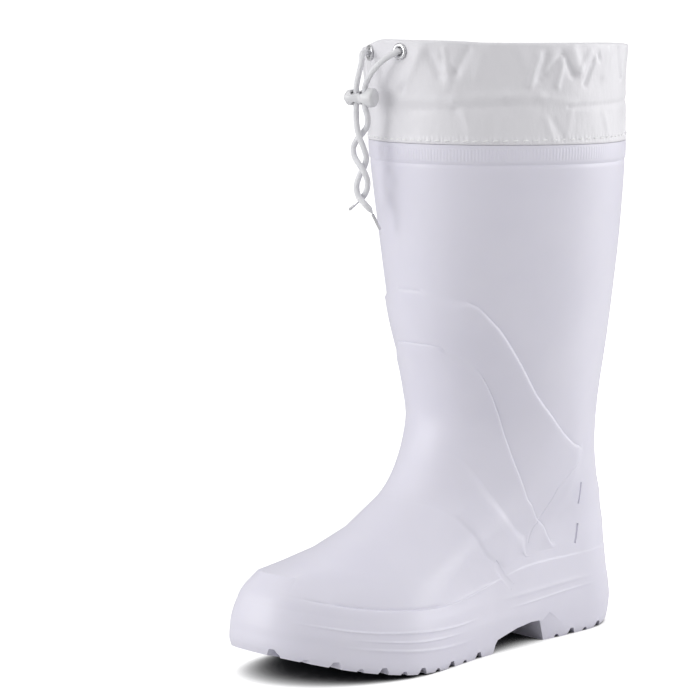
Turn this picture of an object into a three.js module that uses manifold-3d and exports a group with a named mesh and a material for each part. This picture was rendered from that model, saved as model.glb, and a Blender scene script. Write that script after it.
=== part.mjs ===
// Moulded foam rain boot, left foot, with a drawstring cuff.
// Millimetres, +Z up, toe towards -Y, outer (lateral) side towards +X.

import * as THREE from 'three';
import Module from 'manifold-3d';

const wasm = await Module();
wasm.setup();

// Driving sizes
const soleLength = 300;
const ballWidth = 113;
const soleSide = 43;          // height of the sole's side at the ball
const seamHeight = 329;       // floor to the seam of the cuff
const topDepth = 182;         // shaft at the seam, front to back
const topWidth = 155;         // shaft at the seam, across
const cuffHeight = 59;        // seam to the cuff's top edge
const shaftBack = -2.3;       // shaft's back edge behind the heel

// Walls and clearances
const wallShaft = 4.0;
const wallAnkle = 5.5;
const wallFoot = 6.5;
const wallLedge = 9.5;
const wallSole = 12.0;
const floorThickness = 20;
const heelFloor = 28;
const flangeHeight = 14;
const fabricWall = 1.45;
const channelWall = 3.6;
const gap = 0.35;
const insoleThickness = 3.0;
const insoleGap = 1.2;

// Reliefs of the moulding
const ledgeStep = 1.1;
const heelStep = 0.5;
const ribHeight = 0.5;
const collarStep = 0.5;
const grooveDepth = 0.6;
const shinHeight = 1.35;
const instepHeight = 0.9;
const ankleHeight = 1.1;
const panelFoot = 0.5;
const lineWidth = 1.1;
const lineDepth = 0.5;
const slotWidth = 2.2;

// Tread
const notchPitch = 29;
const notchDepth = 4.2;
const notchWidth = 7.5;
const smallNotchDepth = 2.2;
const smallNotchWidth = 5;
const toeNotchX = 8.5;
const toeNotchWidth = 8;
const toeNotchDepth = 4;
const foreFirst = 153.5;
const heelFirst = 33;
const heelPitch = 28;

// Cord, eyelets and lock
const cordRadius = 1.95;
const eyeletRadius = 5.2;
const eyeletBore = 2.6;
const barrelOfEyelet = 3.5;
const eyeletHeight = 1.3;
const agletRadius = 1.0;
const agletBore = 0.75;
const agletLength = 12;
const agletSeat = 2.4;
const lockTurn = THREE.MathUtils.degToRad(19.5);
const lockHoleShift = 2.95;
const lockHoleRadius = 2.4;
const lockBore = 3.75;
const buttonRadius = 3.4;
const buttonTravel = 2.0;
const slotHalf = 2.3;

const ROUND = 48;             // points round the outer surface
const ROUND_IN = 40;          // points round the cavity and the insole

const { clamp, lerp, smoothstep } = THREE.MathUtils;

// Sections of the foot and shaft. Each is a closed loop round the boot: back and front are
// shares of its depth size, z shares of its height size at eight stations from back to front,
// lat and med half widths (heel, waist, ball) as shares of its width size.
const STATIONS = [0, 0.2, 0.36, 0.5, 0.6, 0.72, 0.85, 1];
const SOLE_SECTIONS = [
  {
    name: 'ground', back: 0.016, front: 0.997, heel: 0.15, toe: 0.36, square: 2.3, swing: 0.106,
    z: [0, 0, 0, 0, 0, 0.047, 0.2, 0.472],
    lat: [0.385, 0.405, 0.51], med: [0.37, 0.34, 0.465],
  },
  {
    name: 'lug', back: 0.004, front: 1.002, heel: 0.15, toe: 0.36, square: 2.3, swing: 0.106,
    z: [0.093, 0.093, 0.093, 0.093, 0.093, 0.14, 0.293, 0.60],
    lat: [0.395, 0.412, 0.52], med: [0.38, 0.35, 0.474],
  },
  {
    name: 'rib3', back: -0.003, front: 1.0, heel: 0.15, toe: 0.36, square: 2.3, swing: 0.106,
    z: [0.36, 0.37, 0.39, 0.34, 0.33, 0.40, 0.54, 0.76],
    lat: [0.4, 0.415, 0.522], med: [0.385, 0.352, 0.475],
  },
  {
    name: 'rib2', back: -0.002, front: 0.998, heel: 0.15, toe: 0.36, square: 2.3, swing: 0.105,
    z: [0.53, 0.53, 0.52, 0.49, 0.485, 0.53, 0.66, 0.88],
    lat: [0.4, 0.415, 0.52], med: [0.385, 0.352, 0.473],
  },
  {
    name: 'rib1', back: 0.003, front: 0.993, heel: 0.15, toe: 0.36, square: 2.28, swing: 0.104,
    z: [0.77, 0.725, 0.66, 0.63, 0.615, 0.68, 0.785, 1.02],
    lat: [0.398, 0.41, 0.512], med: [0.383, 0.352, 0.466],
  },
  {
    name: 'rear', back: 0.006, front: 0.986, heel: 0.15, toe: 0.36, square: 2.26, swing: 0.102,
    z: [0.87, 0.855, 0.815, 0.79, 0.76, 0.80, 0.91, 1.15],
    lat: [0.395, 0.405, 0.5], med: [0.38, 0.354, 0.456],
  },
  {
    name: 'ledge', back: 0.009, front: 0.974, heel: 0.16, toe: 0.36, square: 2.24, swing: 0.098,
    z: [1.25, 1.24, 1.215, 1.03, 0.935, 0.97, 1.08, 1.32],
    lat: [0.385, 0.395, 0.477], med: [0.37, 0.356, 0.436],
  },
];
const FOOT_SECTIONS = [
  {
    name: 'toe', back: 0.003, front: 0.938, heel: 0.19, toe: 0.38, square: 2.15, swing: 0.085,
    z: [0.210, 0.207, 0.202, 0.186, 0.172, 0.171, 0.181, 0.204],
    lat: [0.377, 0.387, 0.435], med: [0.362, 0.358, 0.405],
  },
  {
    name: 'vamp', back: 0.005, front: 0.846, heel: 0.22, toe: 0.42, square: 2.05, swing: 0.07,
    z: [0.243, 0.241, 0.236, 0.226, 0.215, 0.208, 0.207, 0.216],
    lat: [0.375, 0.388, 0.405], med: [0.361, 0.363, 0.385],
  },
  {
    name: 'instep', back: 0.008, front: 0.722, heel: 0.26, toe: 0.45, square: 2.0, swing: 0.045,
    z: [0.274, 0.272, 0.269, 0.263, 0.257, 0.252, 0.248, 0.249],
    lat: [0.382, 0.402, 0.395], med: [0.37, 0.388, 0.382],
  },
  {
    name: 'bend', back: 0.025, front: 0.590, heel: 0.32, toe: 0.47, square: 2.0, swing: 0.025,
    z: [0.313, 0.314, 0.315, 0.316, 0.317, 0.319, 0.321, 0.3235],
    lat: [0.398, 0.425, 0.405], med: [0.388, 0.41, 0.397],
  },
  {
    name: 'ankle', back: 0.036, front: 0.527, heel: 0.4, toe: 0.48, square: 2.0, swing: 0.008,
    z: [0.380, 0.389, 0.397, 0.406, 0.412, 0.419, 0.427, 0.4345],
    lat: [0.425, 0.452, 0.435], med: [0.415, 0.443, 0.427],
  },
  {
    name: 'calf', back: 0.031, front: 0.529, heel: 0.46, toe: 0.5, square: 2.0, swing: 0,
    z: [0.471, 0.480, 0.488, 0.494, 0.499, 0.505, 0.510, 0.5155],
    lat: [0.47, 0.495, 0.475], med: [0.465, 0.487, 0.47],
  },
];
const SHAFT_SECTIONS = [
  {
    name: 'shin', back: 0.022, front: 0.938, heel: 0.5, toe: 0.5, square: 2.0, swing: 0,
    z: [0.608, 0.617, 0.624, 0.631, 0.636, 0.641, 0.647, 0.6535],
    lat: [0.387, 0.4, 0.387], med: [0.387, 0.4, 0.387],
  },
  {
    name: 'upper', back: -0.002, front: 0.972, heel: 0.5, toe: 0.5, square: 2.0, swing: 0,
    z: [0.796, 0.801, 0.805, 0.808, 0.811, 0.814, 0.817, 0.8205],
    lat: [0.445, 0.458, 0.445], med: [0.445, 0.458, 0.445],
  },
  {
    name: 'groove', back: -0.003, front: 0.996, heel: 0.5, toe: 0.5, square: 2.0, swing: 0,
    z: [0.955, 0.956, 0.957, 0.958, 0.959, 0.960, 0.961, 0.962],
    lat: [0.489, 0.5, 0.489], med: [0.489, 0.5, 0.489],
  },
  {
    name: 'hem', back: -0.002, front: 1.0, heel: 0.5, toe: 0.5, square: 2.0, swing: 0,
    z: [0.993, 0.994, 0.995, 0.996, 0.997, 0.998, 0.999, 1.0],
    lat: [0.494, 0.505, 0.494], med: [0.494, 0.505, 0.494],
  },
];
const CUFF_SECTIONS = [
  {
    name: 'cuffLow', back: -0.002, front: 1.006, heel: 0.5, toe: 0.5, square: 2.0, swing: 0,
    z: [0.312, 0.318, 0.323, 0.329, 0.335, 0.340, 0.346, 0.351],
    lat: [0.495, 0.506, 0.495], med: [0.495, 0.506, 0.495],
  },
  {
    name: 'cuffMid', back: -0.003, front: 1.022, heel: 0.5, toe: 0.5, square: 2.0, swing: 0,
    z: [0.658, 0.658, 0.658, 0.658, 0.658, 0.658, 0.658, 0.658],
    lat: [0.495, 0.505, 0.495], med: [0.495, 0.505, 0.495],
  },
  {
    name: 'cuffTop', back: -0.010, front: 1.032, heel: 0.5, toe: 0.5, square: 2.0, swing: 0,
    z: [0.998, 0.998, 0.998, 0.998, 0.998, 0.998, 0.998, 0.998],
    lat: [0.503, 0.508, 0.495], med: [0.503, 0.508, 0.495],
  },
];

const row = (s, depth, width, height, shift, base) => [
  shift + s.back * depth, shift + s.front * depth, ...s.z.map((q) => base + q * height),
  ...s.lat.map((q) => q * width), ...s.med.map((q) => q * width),
  s.heel, s.toe, s.square, s.swing * width,
];
const SECTIONS = [
  ...SOLE_SECTIONS.map((s) => row(s, soleLength, ballWidth, soleSide, 0, 0)),
  ...FOOT_SECTIONS.map((s) => row(s, soleLength, ballWidth, seamHeight, 0, 0)),
  ...SHAFT_SECTIONS.map((s) => row(s, topDepth, topWidth, seamHeight, shaftBack, 0)),
  ...CUFF_SECTIONS.map((s) => row(s, topDepth, topWidth, cuffHeight, shaftBack, seamHeight)),
];
// Places of the named sections in the loft
const LEDGE = SOLE_SECTIONS.length - 1;
const REAR = LEDGE - 1;
const GROOVE = SECTIONS.length - CUFF_SECTIONS.length - 2;
const HEM = GROOVE + 1;
const TOP = SECTIONS.length - 1;

function hermite(p0, m0, p1, m1, u) {
  const u2 = u * u;
  const u3 = u2 * u;
  return (2 * u3 - 3 * u2 + 1) * p0 + (u3 - 2 * u2 + u) * m0
    + (3 * u2 - 2 * u3) * p1 + (u3 - u2) * m1;
}

// Smooth curve through the points (xs, ys)
function curve(xs, ys, x) {
  const n = xs.length;
  let i = 0;
  while (i < n - 2 && x > xs[i + 1]) i += 1;
  const slope = (k) => {
    const a = Math.max(k - 1, 0);
    const b = Math.min(k + 1, n - 1);
    return (ys[b] - ys[a]) / (xs[b] - xs[a]);
  };
  const h = xs[i + 1] - xs[i];
  return hermite(ys[i], h * slope(i), ys[i + 1], h * slope(i + 1), clamp((x - xs[i]) / h, 0, 1));
}

// Section between the named ones, v running from the ground (0) to the cuff's top
function section(v) {
  const n = SECTIONS.length - 1;
  const i = clamp(Math.floor(v), 0, n - 1);
  const at = (k) => SECTIONS[clamp(k, 0, n)];
  const [before, low, high, after] = [at(i - 1), at(i), at(i + 1), at(i + 2)];
  const atStart = i === 0 ? 1 : 0.5;
  const atEnd = i + 2 > n ? 1 : 0.5;
  return low.map((q, k) => hermite(q, (high[k] - before[k]) * atStart, high[k],
    (after[k] - low[k]) * atEnd, v - i));
}

const corner = (s, power) => (1 - (1 - clamp(s, 0, 1)) ** power) ** (1 / power);

// Half width between heel, waist and ball, t from back (0) to front (1)
function breadth(t, heel, waist, ball) {
  if (t <= 0.45) return lerp(heel, waist, smoothstep(t, 0.15, 0.45));
  return lerp(waist, ball, smoothstep(t, 0.45, 0.75));
}

// Base surface: turn 0 at the back, a quarter turn at the outer side, a half turn at the front
function surface(v, turn) {
  const s = section(v);
  const t = (1 - Math.cos(turn)) / 2;
  const side = Math.sin(turn) >= 0 ? 1 : -1;
  const w = side > 0 ? 10 : 13;
  const ends = corner(t / s[16], s[18]) * corner((1 - t) / s[17], s[18]);
  const swing = s[19] * clamp((t - 0.45) / 0.55, 0, 1) ** 2;
  const x = side * breadth(t, s[w], s[w + 1], s[w + 2]) * ends - swing;
  const z = curve(STATIONS, s.slice(2, 10), t);
  return new THREE.Vector3(x, soleLength / 2 - lerp(s[0], s[1], t), z);
}

function normal(v, turn) {
  const dv = 0.02;
  const dt = 0.02;
  const up = surface(Math.min(v + dv, TOP), turn).sub(surface(Math.max(v - dv, 0), turn));
  const round = surface(v, turn + dt).sub(surface(v, turn - dt));
  return up.cross(round).normalize();
}

const lifted = (v, turn, out) => surface(v, turn).addScaledVector(normal(v, turn), out);

// Turn at share t of a section's depth, on the outer (side 1) or inner side (-1)
const turnAt = (t, side) => side * Math.acos(1 - 2 * clamp(t, 0, 1));

// Loft place whose height is z at the turn
function placeAt(turn, z) {
  let low = 0;
  let high = TOP;
  for (let k = 0; k < 30; k += 1) {
    const mid = (low + high) / 2;
    if (surface(mid, turn).z < z) low = mid;
    else high = mid;
  }
  return (low + high) / 2;
}

// Solids from rings and grids

function solidOf(points, triangles) {
  const vertProperties = new Float32Array(points.flatMap((p) => [p.x, p.y, p.z]));
  const build = (tris) => new wasm.Manifold(
    new wasm.Mesh({ numProp: 3, vertProperties, triVerts: new Uint32Array(tris) }));
  let volume = 0;
  for (let k = 0; k < triangles.length; k += 3) {
    const [a, b, c] = [0, 1, 2].map((m) => points[triangles[k + m]]);
    volume += a.dot(new THREE.Vector3().crossVectors(b, c));
  }
  if (volume > 0) return build(triangles);
  const flipped = [];
  for (let k = 0; k < triangles.length; k += 3) {
    flipped.push(triangles[k], triangles[k + 2], triangles[k + 1]);
  }
  return build(flipped);
}

function ringFaces(rings, count, closed) {
  const faces = [];
  const last = closed ? rings : rings - 1;
  for (let i = 0; i < last; i += 1) {
    for (let j = 0; j < count; j += 1) {
      const [a, b] = [i * count + j, i * count + (j + 1) % count];
      const next = ((i + 1) % rings) * count;
      const [c, d] = [next + (j + 1) % count, next + j];
      faces.push(a, c, b, a, d, c);
    }
  }
  return faces;
}

// Closed body from rings that go up, capped straight across from side to side
function loft(rings) {
  const n = rings[0].length;
  const faces = ringFaces(rings.length, n, false);
  const cap = (start, up) => {
    const add = (a, b, c) => faces.push(start + a, start + (up ? c : b), start + (up ? b : c));
    for (let j = 0; j < n / 2; j += 1) {
      const [a, b, c, d] = [j, j + 1, (n - j - 1) % n, (n - j) % n];
      if (b !== c) add(a, b, c);
      if (a !== d) add(a, c, d);
    }
  };
  cap(0, false);
  cap((rings.length - 1) * n, true);
  return solidOf(rings.flat(), faces);
}

// Tube from rings that go up its outside and down its inside
const sleeve = (rings) => solidOf(rings.flat(), ringFaces(rings.length, rings[0].length, true));

// Slab between an upper and a lower grid of points
function slab(upper, lower) {
  const rows = upper.length;
  const cols = upper[0].length;
  const size = rows * cols;
  const faces = [];
  const quad = (a, b, c, d) => faces.push(a, b, c, a, c, d);
  const at = (i, j) => i * cols + j;
  for (let i = 0; i < rows - 1; i += 1) {
    for (let j = 0; j < cols - 1; j += 1) {
      quad(at(i, j), at(i + 1, j), at(i + 1, j + 1), at(i, j + 1));
      quad(size + at(i, j), size + at(i, j + 1), size + at(i + 1, j + 1), size + at(i + 1, j));
    }
    quad(at(i, 0), size + at(i, 0), size + at(i + 1, 0), at(i + 1, 0));
    quad(at(i, cols - 1), at(i + 1, cols - 1), size + at(i + 1, cols - 1), size + at(i, cols - 1));
  }
  for (let j = 0; j < cols - 1; j += 1) {
    quad(at(0, j), at(0, j + 1), size + at(0, j + 1), size + at(0, j));
    quad(at(rows - 1, j), size + at(rows - 1, j), size + at(rows - 1, j + 1), at(rows - 1, j + 1));
  }
  return solidOf([...upper.flat(), ...lower.flat()], faces);
}

// Prism of an outline (pairs across and up) between two ends
function prism(outline, place, ends) {
  const n = outline.length;
  const points = ends.flatMap((end) => outline.map(([a, b]) => place(a, b, end)));
  const shape = outline.map(([a, b]) => new THREE.Vector2(a, b));
  const faces = [];
  for (const [a, b, c] of THREE.ShapeUtils.triangulateShape(shape, [])) {
    faces.push(a, b, c, n + a, n + c, n + b);
  }
  const turned = THREE.ShapeUtils.isClockWise(shape);
  for (let j = 0; j < n; j += 1) {
    const k = (j + 1) % n;
    if (turned) faces.push(j, k, n + k, j, n + k, n + j);
    else faces.push(j, n + k, k, j, n + j, n + k);
  }
  return solidOf(points, faces);
}

// Turned body about the x axis from pairs (place along, radius), closed on the axis
function turned(profile, count) {
  const rings = profile.slice(1, -1).map(([s, r]) => Array.from({ length: count }, (_, k) => {
    const a = (2 * Math.PI * k) / count;
    return new THREE.Vector3(s, r * Math.cos(a), r * Math.sin(a));
  }));
  const points = rings.flat();
  const faces = ringFaces(rings.length, count, false);
  const first = points.push(new THREE.Vector3(profile[0][0], 0, 0)) - 1;
  const last = points.push(new THREE.Vector3(profile.at(-1)[0], 0, 0)) - 1;
  const top = (rings.length - 1) * count;
  for (let k = 0; k < count; k += 1) {
    faces.push(first, k, (k + 1) % count, last, top + (k + 1) % count, top + k);
  }
  return solidOf(points, faces);
}

const rod = (from, to, radius, count) => turned(
  [[from, 0], [from, radius], [to, radius], [to, 0]], count);

// Swept cord along hand-set points, its radius given by the length still to go
function cord(points, radiusLeft, steps, count) {
  const path = new THREE.CatmullRomCurve3(points, false, 'centripetal');
  const frames = path.computeFrenetFrames(steps, false);
  const length = path.getLength();
  const out = [];
  for (let i = 0; i <= steps; i += 1) {
    const centre = path.getPointAt(i / steps);
    const radius = radiusLeft(length * (1 - i / steps));
    for (let k = 0; k < count; k += 1) {
      const a = (2 * Math.PI * k) / count;
      out.push(centre.clone().addScaledVector(frames.normals[i], radius * Math.cos(a))
        .addScaledVector(frames.binormals[i], radius * Math.sin(a)));
    }
  }
  const faces = ringFaces(steps + 1, count, false);
  const start = out.push(path.getPointAt(0)) - 1;
  const end = out.push(path.getPointAt(1)) - 1;
  const top = steps * count;
  for (let k = 0; k < count; k += 1) {
    faces.push(start, k, (k + 1) % count, end, top + (k + 1) % count, top + k);
  }
  return { body: solidOf(out, faces), path };
}

// Moulded shell

// How far a relief is present at share t, between two ends with soft fades
const present = (t, from, to) => smoothstep(t, from - 0.06, from + 0.02)
  * (1 - smoothstep(t, to - 0.04, to + 0.03));

const RIBS = [
  { place: LEDGE - 4, from: 0.57, to: 0.9 },
  { place: LEDGE - 3, from: 0.62, to: 0.88 },
  { place: LEDGE - 2, from: 0.56, to: 0.95 },
  { place: LEDGE - 2, from: 0.12, to: 0.4 },
  { place: REAR, from: 0.12, to: 0.42 },
];

function relief(v, t) {
  const toeFade = smoothstep(t, 0.9, 0.99);
  const stepWidth = lerp(0.13, 1.6, toeFade);
  const step = lerp(heelStep, ledgeStep, smoothstep(t, 0.42, 0.52));
  let out = step * (1 - smoothstep(v, LEDGE - 0.03, LEDGE - 0.03 + stepWidth));
  out -= 0.5 * step * (1 - smoothstep(v, LEDGE + 0.2, LEDGE + 1.5));
  for (const rib of RIBS) {
    if (Math.abs(v - rib.place) < 0.01) out += ribHeight * present(t, rib.from, rib.to);
  }
  if (Math.abs(v - GROOVE) < 0.01) out -= grooveDepth;
  if (v > GROOVE + 0.05) out += collarStep;
  return out;
}

const around = (count, place) => Array.from(
  { length: count }, (_, k) => place((2 * Math.PI * k) / count));
const share = (turn) => (1 - Math.cos(turn)) / 2;

const OUTER_PLACES = [0, 0.35, 1];
for (let k = 2; k <= REAR; k += 1) OUTER_PLACES.push(k - 0.2, k, k + 0.2);
OUTER_PLACES.push(REAR + 0.6, LEDGE - 0.03, LEDGE + 0.1, LEDGE + 0.5);
for (let k = LEDGE + 1; k < GROOVE - 0.6; k += 0.5) OUTER_PLACES.push(k);
OUTER_PLACES.push(GROOVE - 0.5, GROOVE - 0.08, GROOVE, GROOVE + 0.08, GROOVE + 0.5, HEM);

const perUnit = SECTIONS[HEM + 1][2] - SECTIONS[HEM][2];
const FLANGE_TOP = HEM + flangeHeight / perUnit;
const flangeIn = fabricWall + gap;
// The lowest rings keep the base heights, so that heel and ball stand flat
function outerPoint(v, turn) {
  const p = lifted(v, turn, relief(v, share(turn)));
  if (v < 1) p.z = Math.max(surface(v, turn).z, 0);
  return p;
}
const outerRings = OUTER_PLACES.map((v) => around(ROUND, (turn) => outerPoint(v, turn)));
outerRings.push(around(ROUND, (turn) => lifted(HEM + 0.01, turn, -flangeIn)));
outerRings.push(around(ROUND, (turn) => lifted(FLANGE_TOP, turn, -flangeIn)));

// Floor inside: higher at the heel, following the toe spring
const SPRING = SECTIONS[0].slice(2, 10);
function floorHeight(y) {
  const q = clamp((soleLength / 2 - y) / soleLength, 0.04, 0.96);
  const base = lerp(heelFloor, floorThickness, smoothstep(q, 0.3, 0.62));
  return base + 0.7 * curve(STATIONS, SPRING, q);
}

const WALLS = [
  { place: LEDGE, wall: wallLedge },
  { place: LEDGE + 1, wall: (wallLedge + wallFoot) / 2 },
  { place: LEDGE + 2, wall: wallFoot },
  { place: LEDGE + 4, wall: wallAnkle },
  { place: LEDGE + 7, wall: wallShaft },
  { place: TOP, wall: wallShaft },
];
const wallAt = (v) => curve(WALLS.map((w) => w.place), WALLS.map((w) => w.wall), v);

function onFloor(turn, inset, rise) {
  const p = lifted(REAR, turn, -inset);
  return new THREE.Vector3(p.x, p.y, floorHeight(p.y) + rise);
}

const cavityRings = [around(ROUND_IN, (turn) => onFloor(turn, wallSole + 1.2, 0))];
cavityRings.push(around(ROUND_IN, (turn) => onFloor(turn, wallSole, 1.2)));
for (let v = LEDGE; v <= HEM; v += 1) {
  cavityRings.push(around(ROUND_IN, (turn) => lifted(v, turn, -wallAt(v))));
}
cavityRings.push(around(ROUND_IN, (turn) => lifted(FLANGE_TOP, turn, -wallShaft)));
cavityRings.push(around(ROUND_IN, (turn) => lifted(FLANGE_TOP + 0.3, turn, -wallShaft)));

// Edges of the raised panels: share of the section's depth, share of the seam height
const SHIN_UPPER = [
  [0, 0.2], [0.1, 0.2], [0.18, 0.215], [0.2, 0.26], [0.25, 0.32], [0.297, 0.372],
  [0.392, 0.393], [0.522, 0.438], [0.65, 0.5015], [0.727, 0.568], [0.797, 0.6255],
  [0.872, 0.678], [0.933, 0.7], [0.965, 0.7065], [0.985, 0.712], [1, 0.714],
];
const SHIN_LOWER = [
  [0, 0.165], [0.2, 0.165], [0.262, 0.168], [0.272, 0.188], [0.29, 0.204], [0.333, 0.2331],
  [0.405, 0.257], [0.48, 0.282], [0.56, 0.309], [0.675, 0.3596], [0.745, 0.403],
  [0.794, 0.445], [0.85, 0.51], [0.9, 0.562], [0.939, 0.5945], [0.965, 0.6035],
  [0.985, 0.608], [1, 0.61],
];
const ANKLE_UPPER = [
  [0, 0.165], [0.25, 0.165], [0.352, 0.168], [0.366, 0.189], [0.388, 0.2134],
  [0.422, 0.2255], [0.478, 0.241], [0.55, 0.258], [0.634, 0.2793], [0.754, 0.3143],
  [0.847, 0.35], [0.88, 0.366], [0.92, 0.382], [1, 0.395],
];
const ANKLE_LOWER = [
  [0, 0.16], [0.36, 0.155], [0.418, 0.159], [0.456, 0.1799], [0.544, 0.2116],
  [0.612, 0.229], [0.691, 0.2474], [0.76, 0.264], [0.815, 0.2772], [0.92, 0.3], [1, 0.312],
];
const HEEL_LINE = [
  { t: 0.300, z: 0.371 }, { t: 0.375, z: 0.338 }, { t: 0.428, z: 0.310 }, { t: 0.420, z: 0.284 },
  { t: 0.405, z: 0.258 }, { t: 0.388, z: 0.231 }, { t: 0.371, z: 0.2055 },
];
const SLOTS = [
  [{ t: 0.289, z: 0.311 }, { t: 0.262, z: 0.288 }, { t: 0.233, z: 0.265 }],
  [{ t: 0.196, z: 0.226 }, { t: 0.193, z: 0.206 }, { t: 0.192, z: 0.187 }],
];

// Path through a table's columns: index i may lie between two rows
function along(table, key, i) {
  return curve(table.map((_, k) => k), table.map((r) => r[key]), i);
}

const onSkin = (t, zShare, side, out) => {
  const turn = turnAt(t, side);
  return lifted(placeAt(turn, zShare * seamHeight), turn, out);
};

// Panel between two edges, from one turn to another, highest at its upper edge, as
// shingles are: height(w, t) is its height across and along
function panel(lower, upper, turns, steps, across, height) {
  const edgeAt = (edge, t) => curve(edge.map((p) => p[0]), edge.map((p) => p[1]), t);
  const grids = [[], []];
  for (let k = 0; k <= steps; k += 1) {
    const turn = lerp(turns[0], turns[1], k / steps);
    const t = share(turn);
    const line = across.map((w) => {
      const z = lerp(edgeAt(lower, t), edgeAt(upper, t), w);
      return placeAt(turn, z * seamHeight);
    });
    grids[0].push(line.map((v, m) => lifted(v, turn, height(across[m], t))));
    grids[1].push(line.map((v) => lifted(v, turn, -2.2)));
  }
  return slab(grids[0], grids[1]);
}

const shingle = (full) => (w) => (w < 1 ? lerp(panelFoot, full, w) : 0);
const ankleBand = (w, t) => {
  const shown = smoothstep(t, 0.37, 0.45) * (1 - smoothstep(t, 0.78, 0.87));
  return w === 0 || w === 1 ? 0.2 : lerp(panelFoot, ankleHeight, shown);
};

// Cut of a given width and depth along a line on one side
function lineCut(table, side, steps, width, depth) {
  const spots = Array.from({ length: steps + 1 }, (_, k) => {
    const i = ((table.length - 1) * k) / steps;
    return [along(table, 't', i), along(table, 'z', i)];
  });
  const sides = spots.map(([t, z], k) => {
    const here = onSkin(t, z, side, 0);
    const [a, b] = [spots[Math.max(k - 1, 0)], spots[Math.min(k + 1, steps)]];
    const ahead = onSkin(b[0], b[1], side, 0).sub(onSkin(a[0], a[1], side, 0)).normalize();
    const turn = turnAt(t, side);
    const out = normal(placeAt(turn, z * seamHeight), turn);
    return { here, out, over: ahead.cross(out).normalize() };
  });
  const line = (shift, lift) => sides.map(
    ({ here, out, over }) => here.clone().addScaledVector(over, shift).addScaledVector(out, lift));
  const edges = [line(-width / 2, shinHeight + 1), line(width / 2, shinHeight + 1)];
  const deep = [line(-width / 4, -depth), line(width / 4, -depth)];
  const grid = ([a, b]) => a.map((p, k) => [p, b[k]]);
  return slab(grid(edges), grid(deep));
}

// Sole's underside: grooves across it, notches at its rim, the waist's hollow
const groundHeight = (f) => curve(STATIONS, SPRING, clamp(f / soleLength, 0, 1));
const acrossX = (a, b, end) => new THREE.Vector3(end, soleLength / 2 - a, b);
const notch = (f, width, depth) => {
  const z = groundHeight(f);
  return [[f - width / 2, z - 3], [f - width / 2, z], [f - width / 5, z + depth],
    [f + width / 5, z + depth], [f + width / 2, z], [f + width / 2, z - 3]];
};
const cuts = [];
for (let k = 0; k < 5; k += 1) {
  const f = foreFirst + k * notchPitch;
  cuts.push(prism(notch(f, notchWidth, notchDepth), acrossX, [-ballWidth, ballWidth]));
  const small = notch(f + notchPitch / 2, smallNotchWidth, smallNotchDepth);
  cuts.push(prism(small, acrossX, [-ballWidth, ballWidth]));
}
for (let k = 0; k < 2; k += 1) {
  const f = heelFirst + k * heelPitch;
  cuts.push(prism(notch(f, notchWidth, notchDepth), acrossX, [-ballWidth, ballWidth]));
  const small = notch(f + heelPitch / 2, smallNotchWidth, smallNotchDepth);
  cuts.push(prism(small, acrossX, [-ballWidth, ballWidth]));
}
const toeNotch = notch(0, toeNotchWidth, toeNotchDepth).map(
  ([a, b]) => [a, b + groundHeight(soleLength * 0.985) + 1]);
cuts.push(prism(toeNotch, (a, b, end) => new THREE.Vector3(toeNotchX + a, end, b),
  [-soleLength / 2 - 5, -soleLength / 2 + 14]));

// Waist hollow: share of the sole's length and of its side's height
const WAIST = [
  { f: 0.470, z: -0.1 }, { f: 0.462, z: 0.02 }, { f: 0.453, z: 0.20 }, { f: 0.427, z: 0.249 },
  { f: 0.387, z: 0.319 }, { f: 0.343, z: 0.358 }, { f: 0.308, z: 0.330 }, { f: 0.291, z: 0.02 },
  { f: 0.290, z: -0.1 },
];
cuts.push(prism(WAIST.map((p) => [p.f * soleLength, p.z * soleSide]), acrossX,
  [-ballWidth, ballWidth]));

// Bevel of the heel's two front corners: a flat facet, its distance from the middle plane
// a value of its own on each side, then falling forwards and growing upwards
const facetSide = [50.2, 47.1];
const facetForward = -0.086;
const facetUp = 0.164;
const facetOutline = [[56, -1], [96, -1], [96, 12], [84.6, 19]];
for (const side of [0, 1]) {
  const sign = side === 0 ? 1 : -1;
  const facetAt = (f, z) => facetSide[side] + facetForward * f + facetUp * z;
  const ends = [
    facetOutline.map(([f, z]) => new THREE.Vector3(sign * 60, soleLength / 2 - f, z)),
    facetOutline.map(([f, z]) => new THREE.Vector3(sign * facetAt(f, z), soleLength / 2 - f, z)),
  ];
  const faces = [0, 1, 2, 0, 2, 3, 4, 6, 5, 4, 7, 6];
  for (let j = 0; j < 4; j += 1) {
    const k = (j + 1) % 4;
    faces.push(j, 4 + k, k, j, 4 + j, 4 + k);
  }
  cuts.push(solidOf(ends.flat(), faces));
}

function mouldedShell() {
  let body = loft(outerRings);
  const wrap = (t) => [turnAt(t, 1), 2 * Math.PI - turnAt(t, 1)];
  // Each panel's foot lies a little under the edge of the one below
  const ACROSS = [-0.03, 0.3, 0.65, 0.975, 1];
  const added = [
    panel(ANKLE_UPPER, SHIN_LOWER, wrap(0.37), 34, ACROSS, shingle(instepHeight)),
    panel(SHIN_LOWER, SHIN_UPPER, wrap(0.3), 36, ACROSS, shingle(shinHeight)),
  ];
  for (const side of [0, 1]) {
    const turns = [wrap(0.4)[side], wrap(0.87)[side]];
    added.push(panel(ANKLE_LOWER, ANKLE_UPPER, turns, 14, [0, 0.12, 0.5, 0.88, 1], ankleBand));
  }
  body = wasm.Manifold.union([body, ...added]);
  body = body.subtract(loft(cavityRings));
  const lines = [];
  for (const side of [1, -1]) {
    lines.push(lineCut(HEEL_LINE, side, 9, lineWidth, lineDepth));
    for (const slot of SLOTS) lines.push(lineCut(slot, side, 2, slotWidth, lineDepth));
  }
  return body.subtract(wasm.Manifold.union([...cuts, ...lines]));
}

// Loose insole on the floor
function insole() {
  const base = wallSole + insoleGap;
  const rings = [0, insoleThickness].map((rise) => around(ROUND_IN,
    (turn) => onFloor(turn, base + 1.2, gap + rise)));
  return loft(rings);
}

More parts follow.
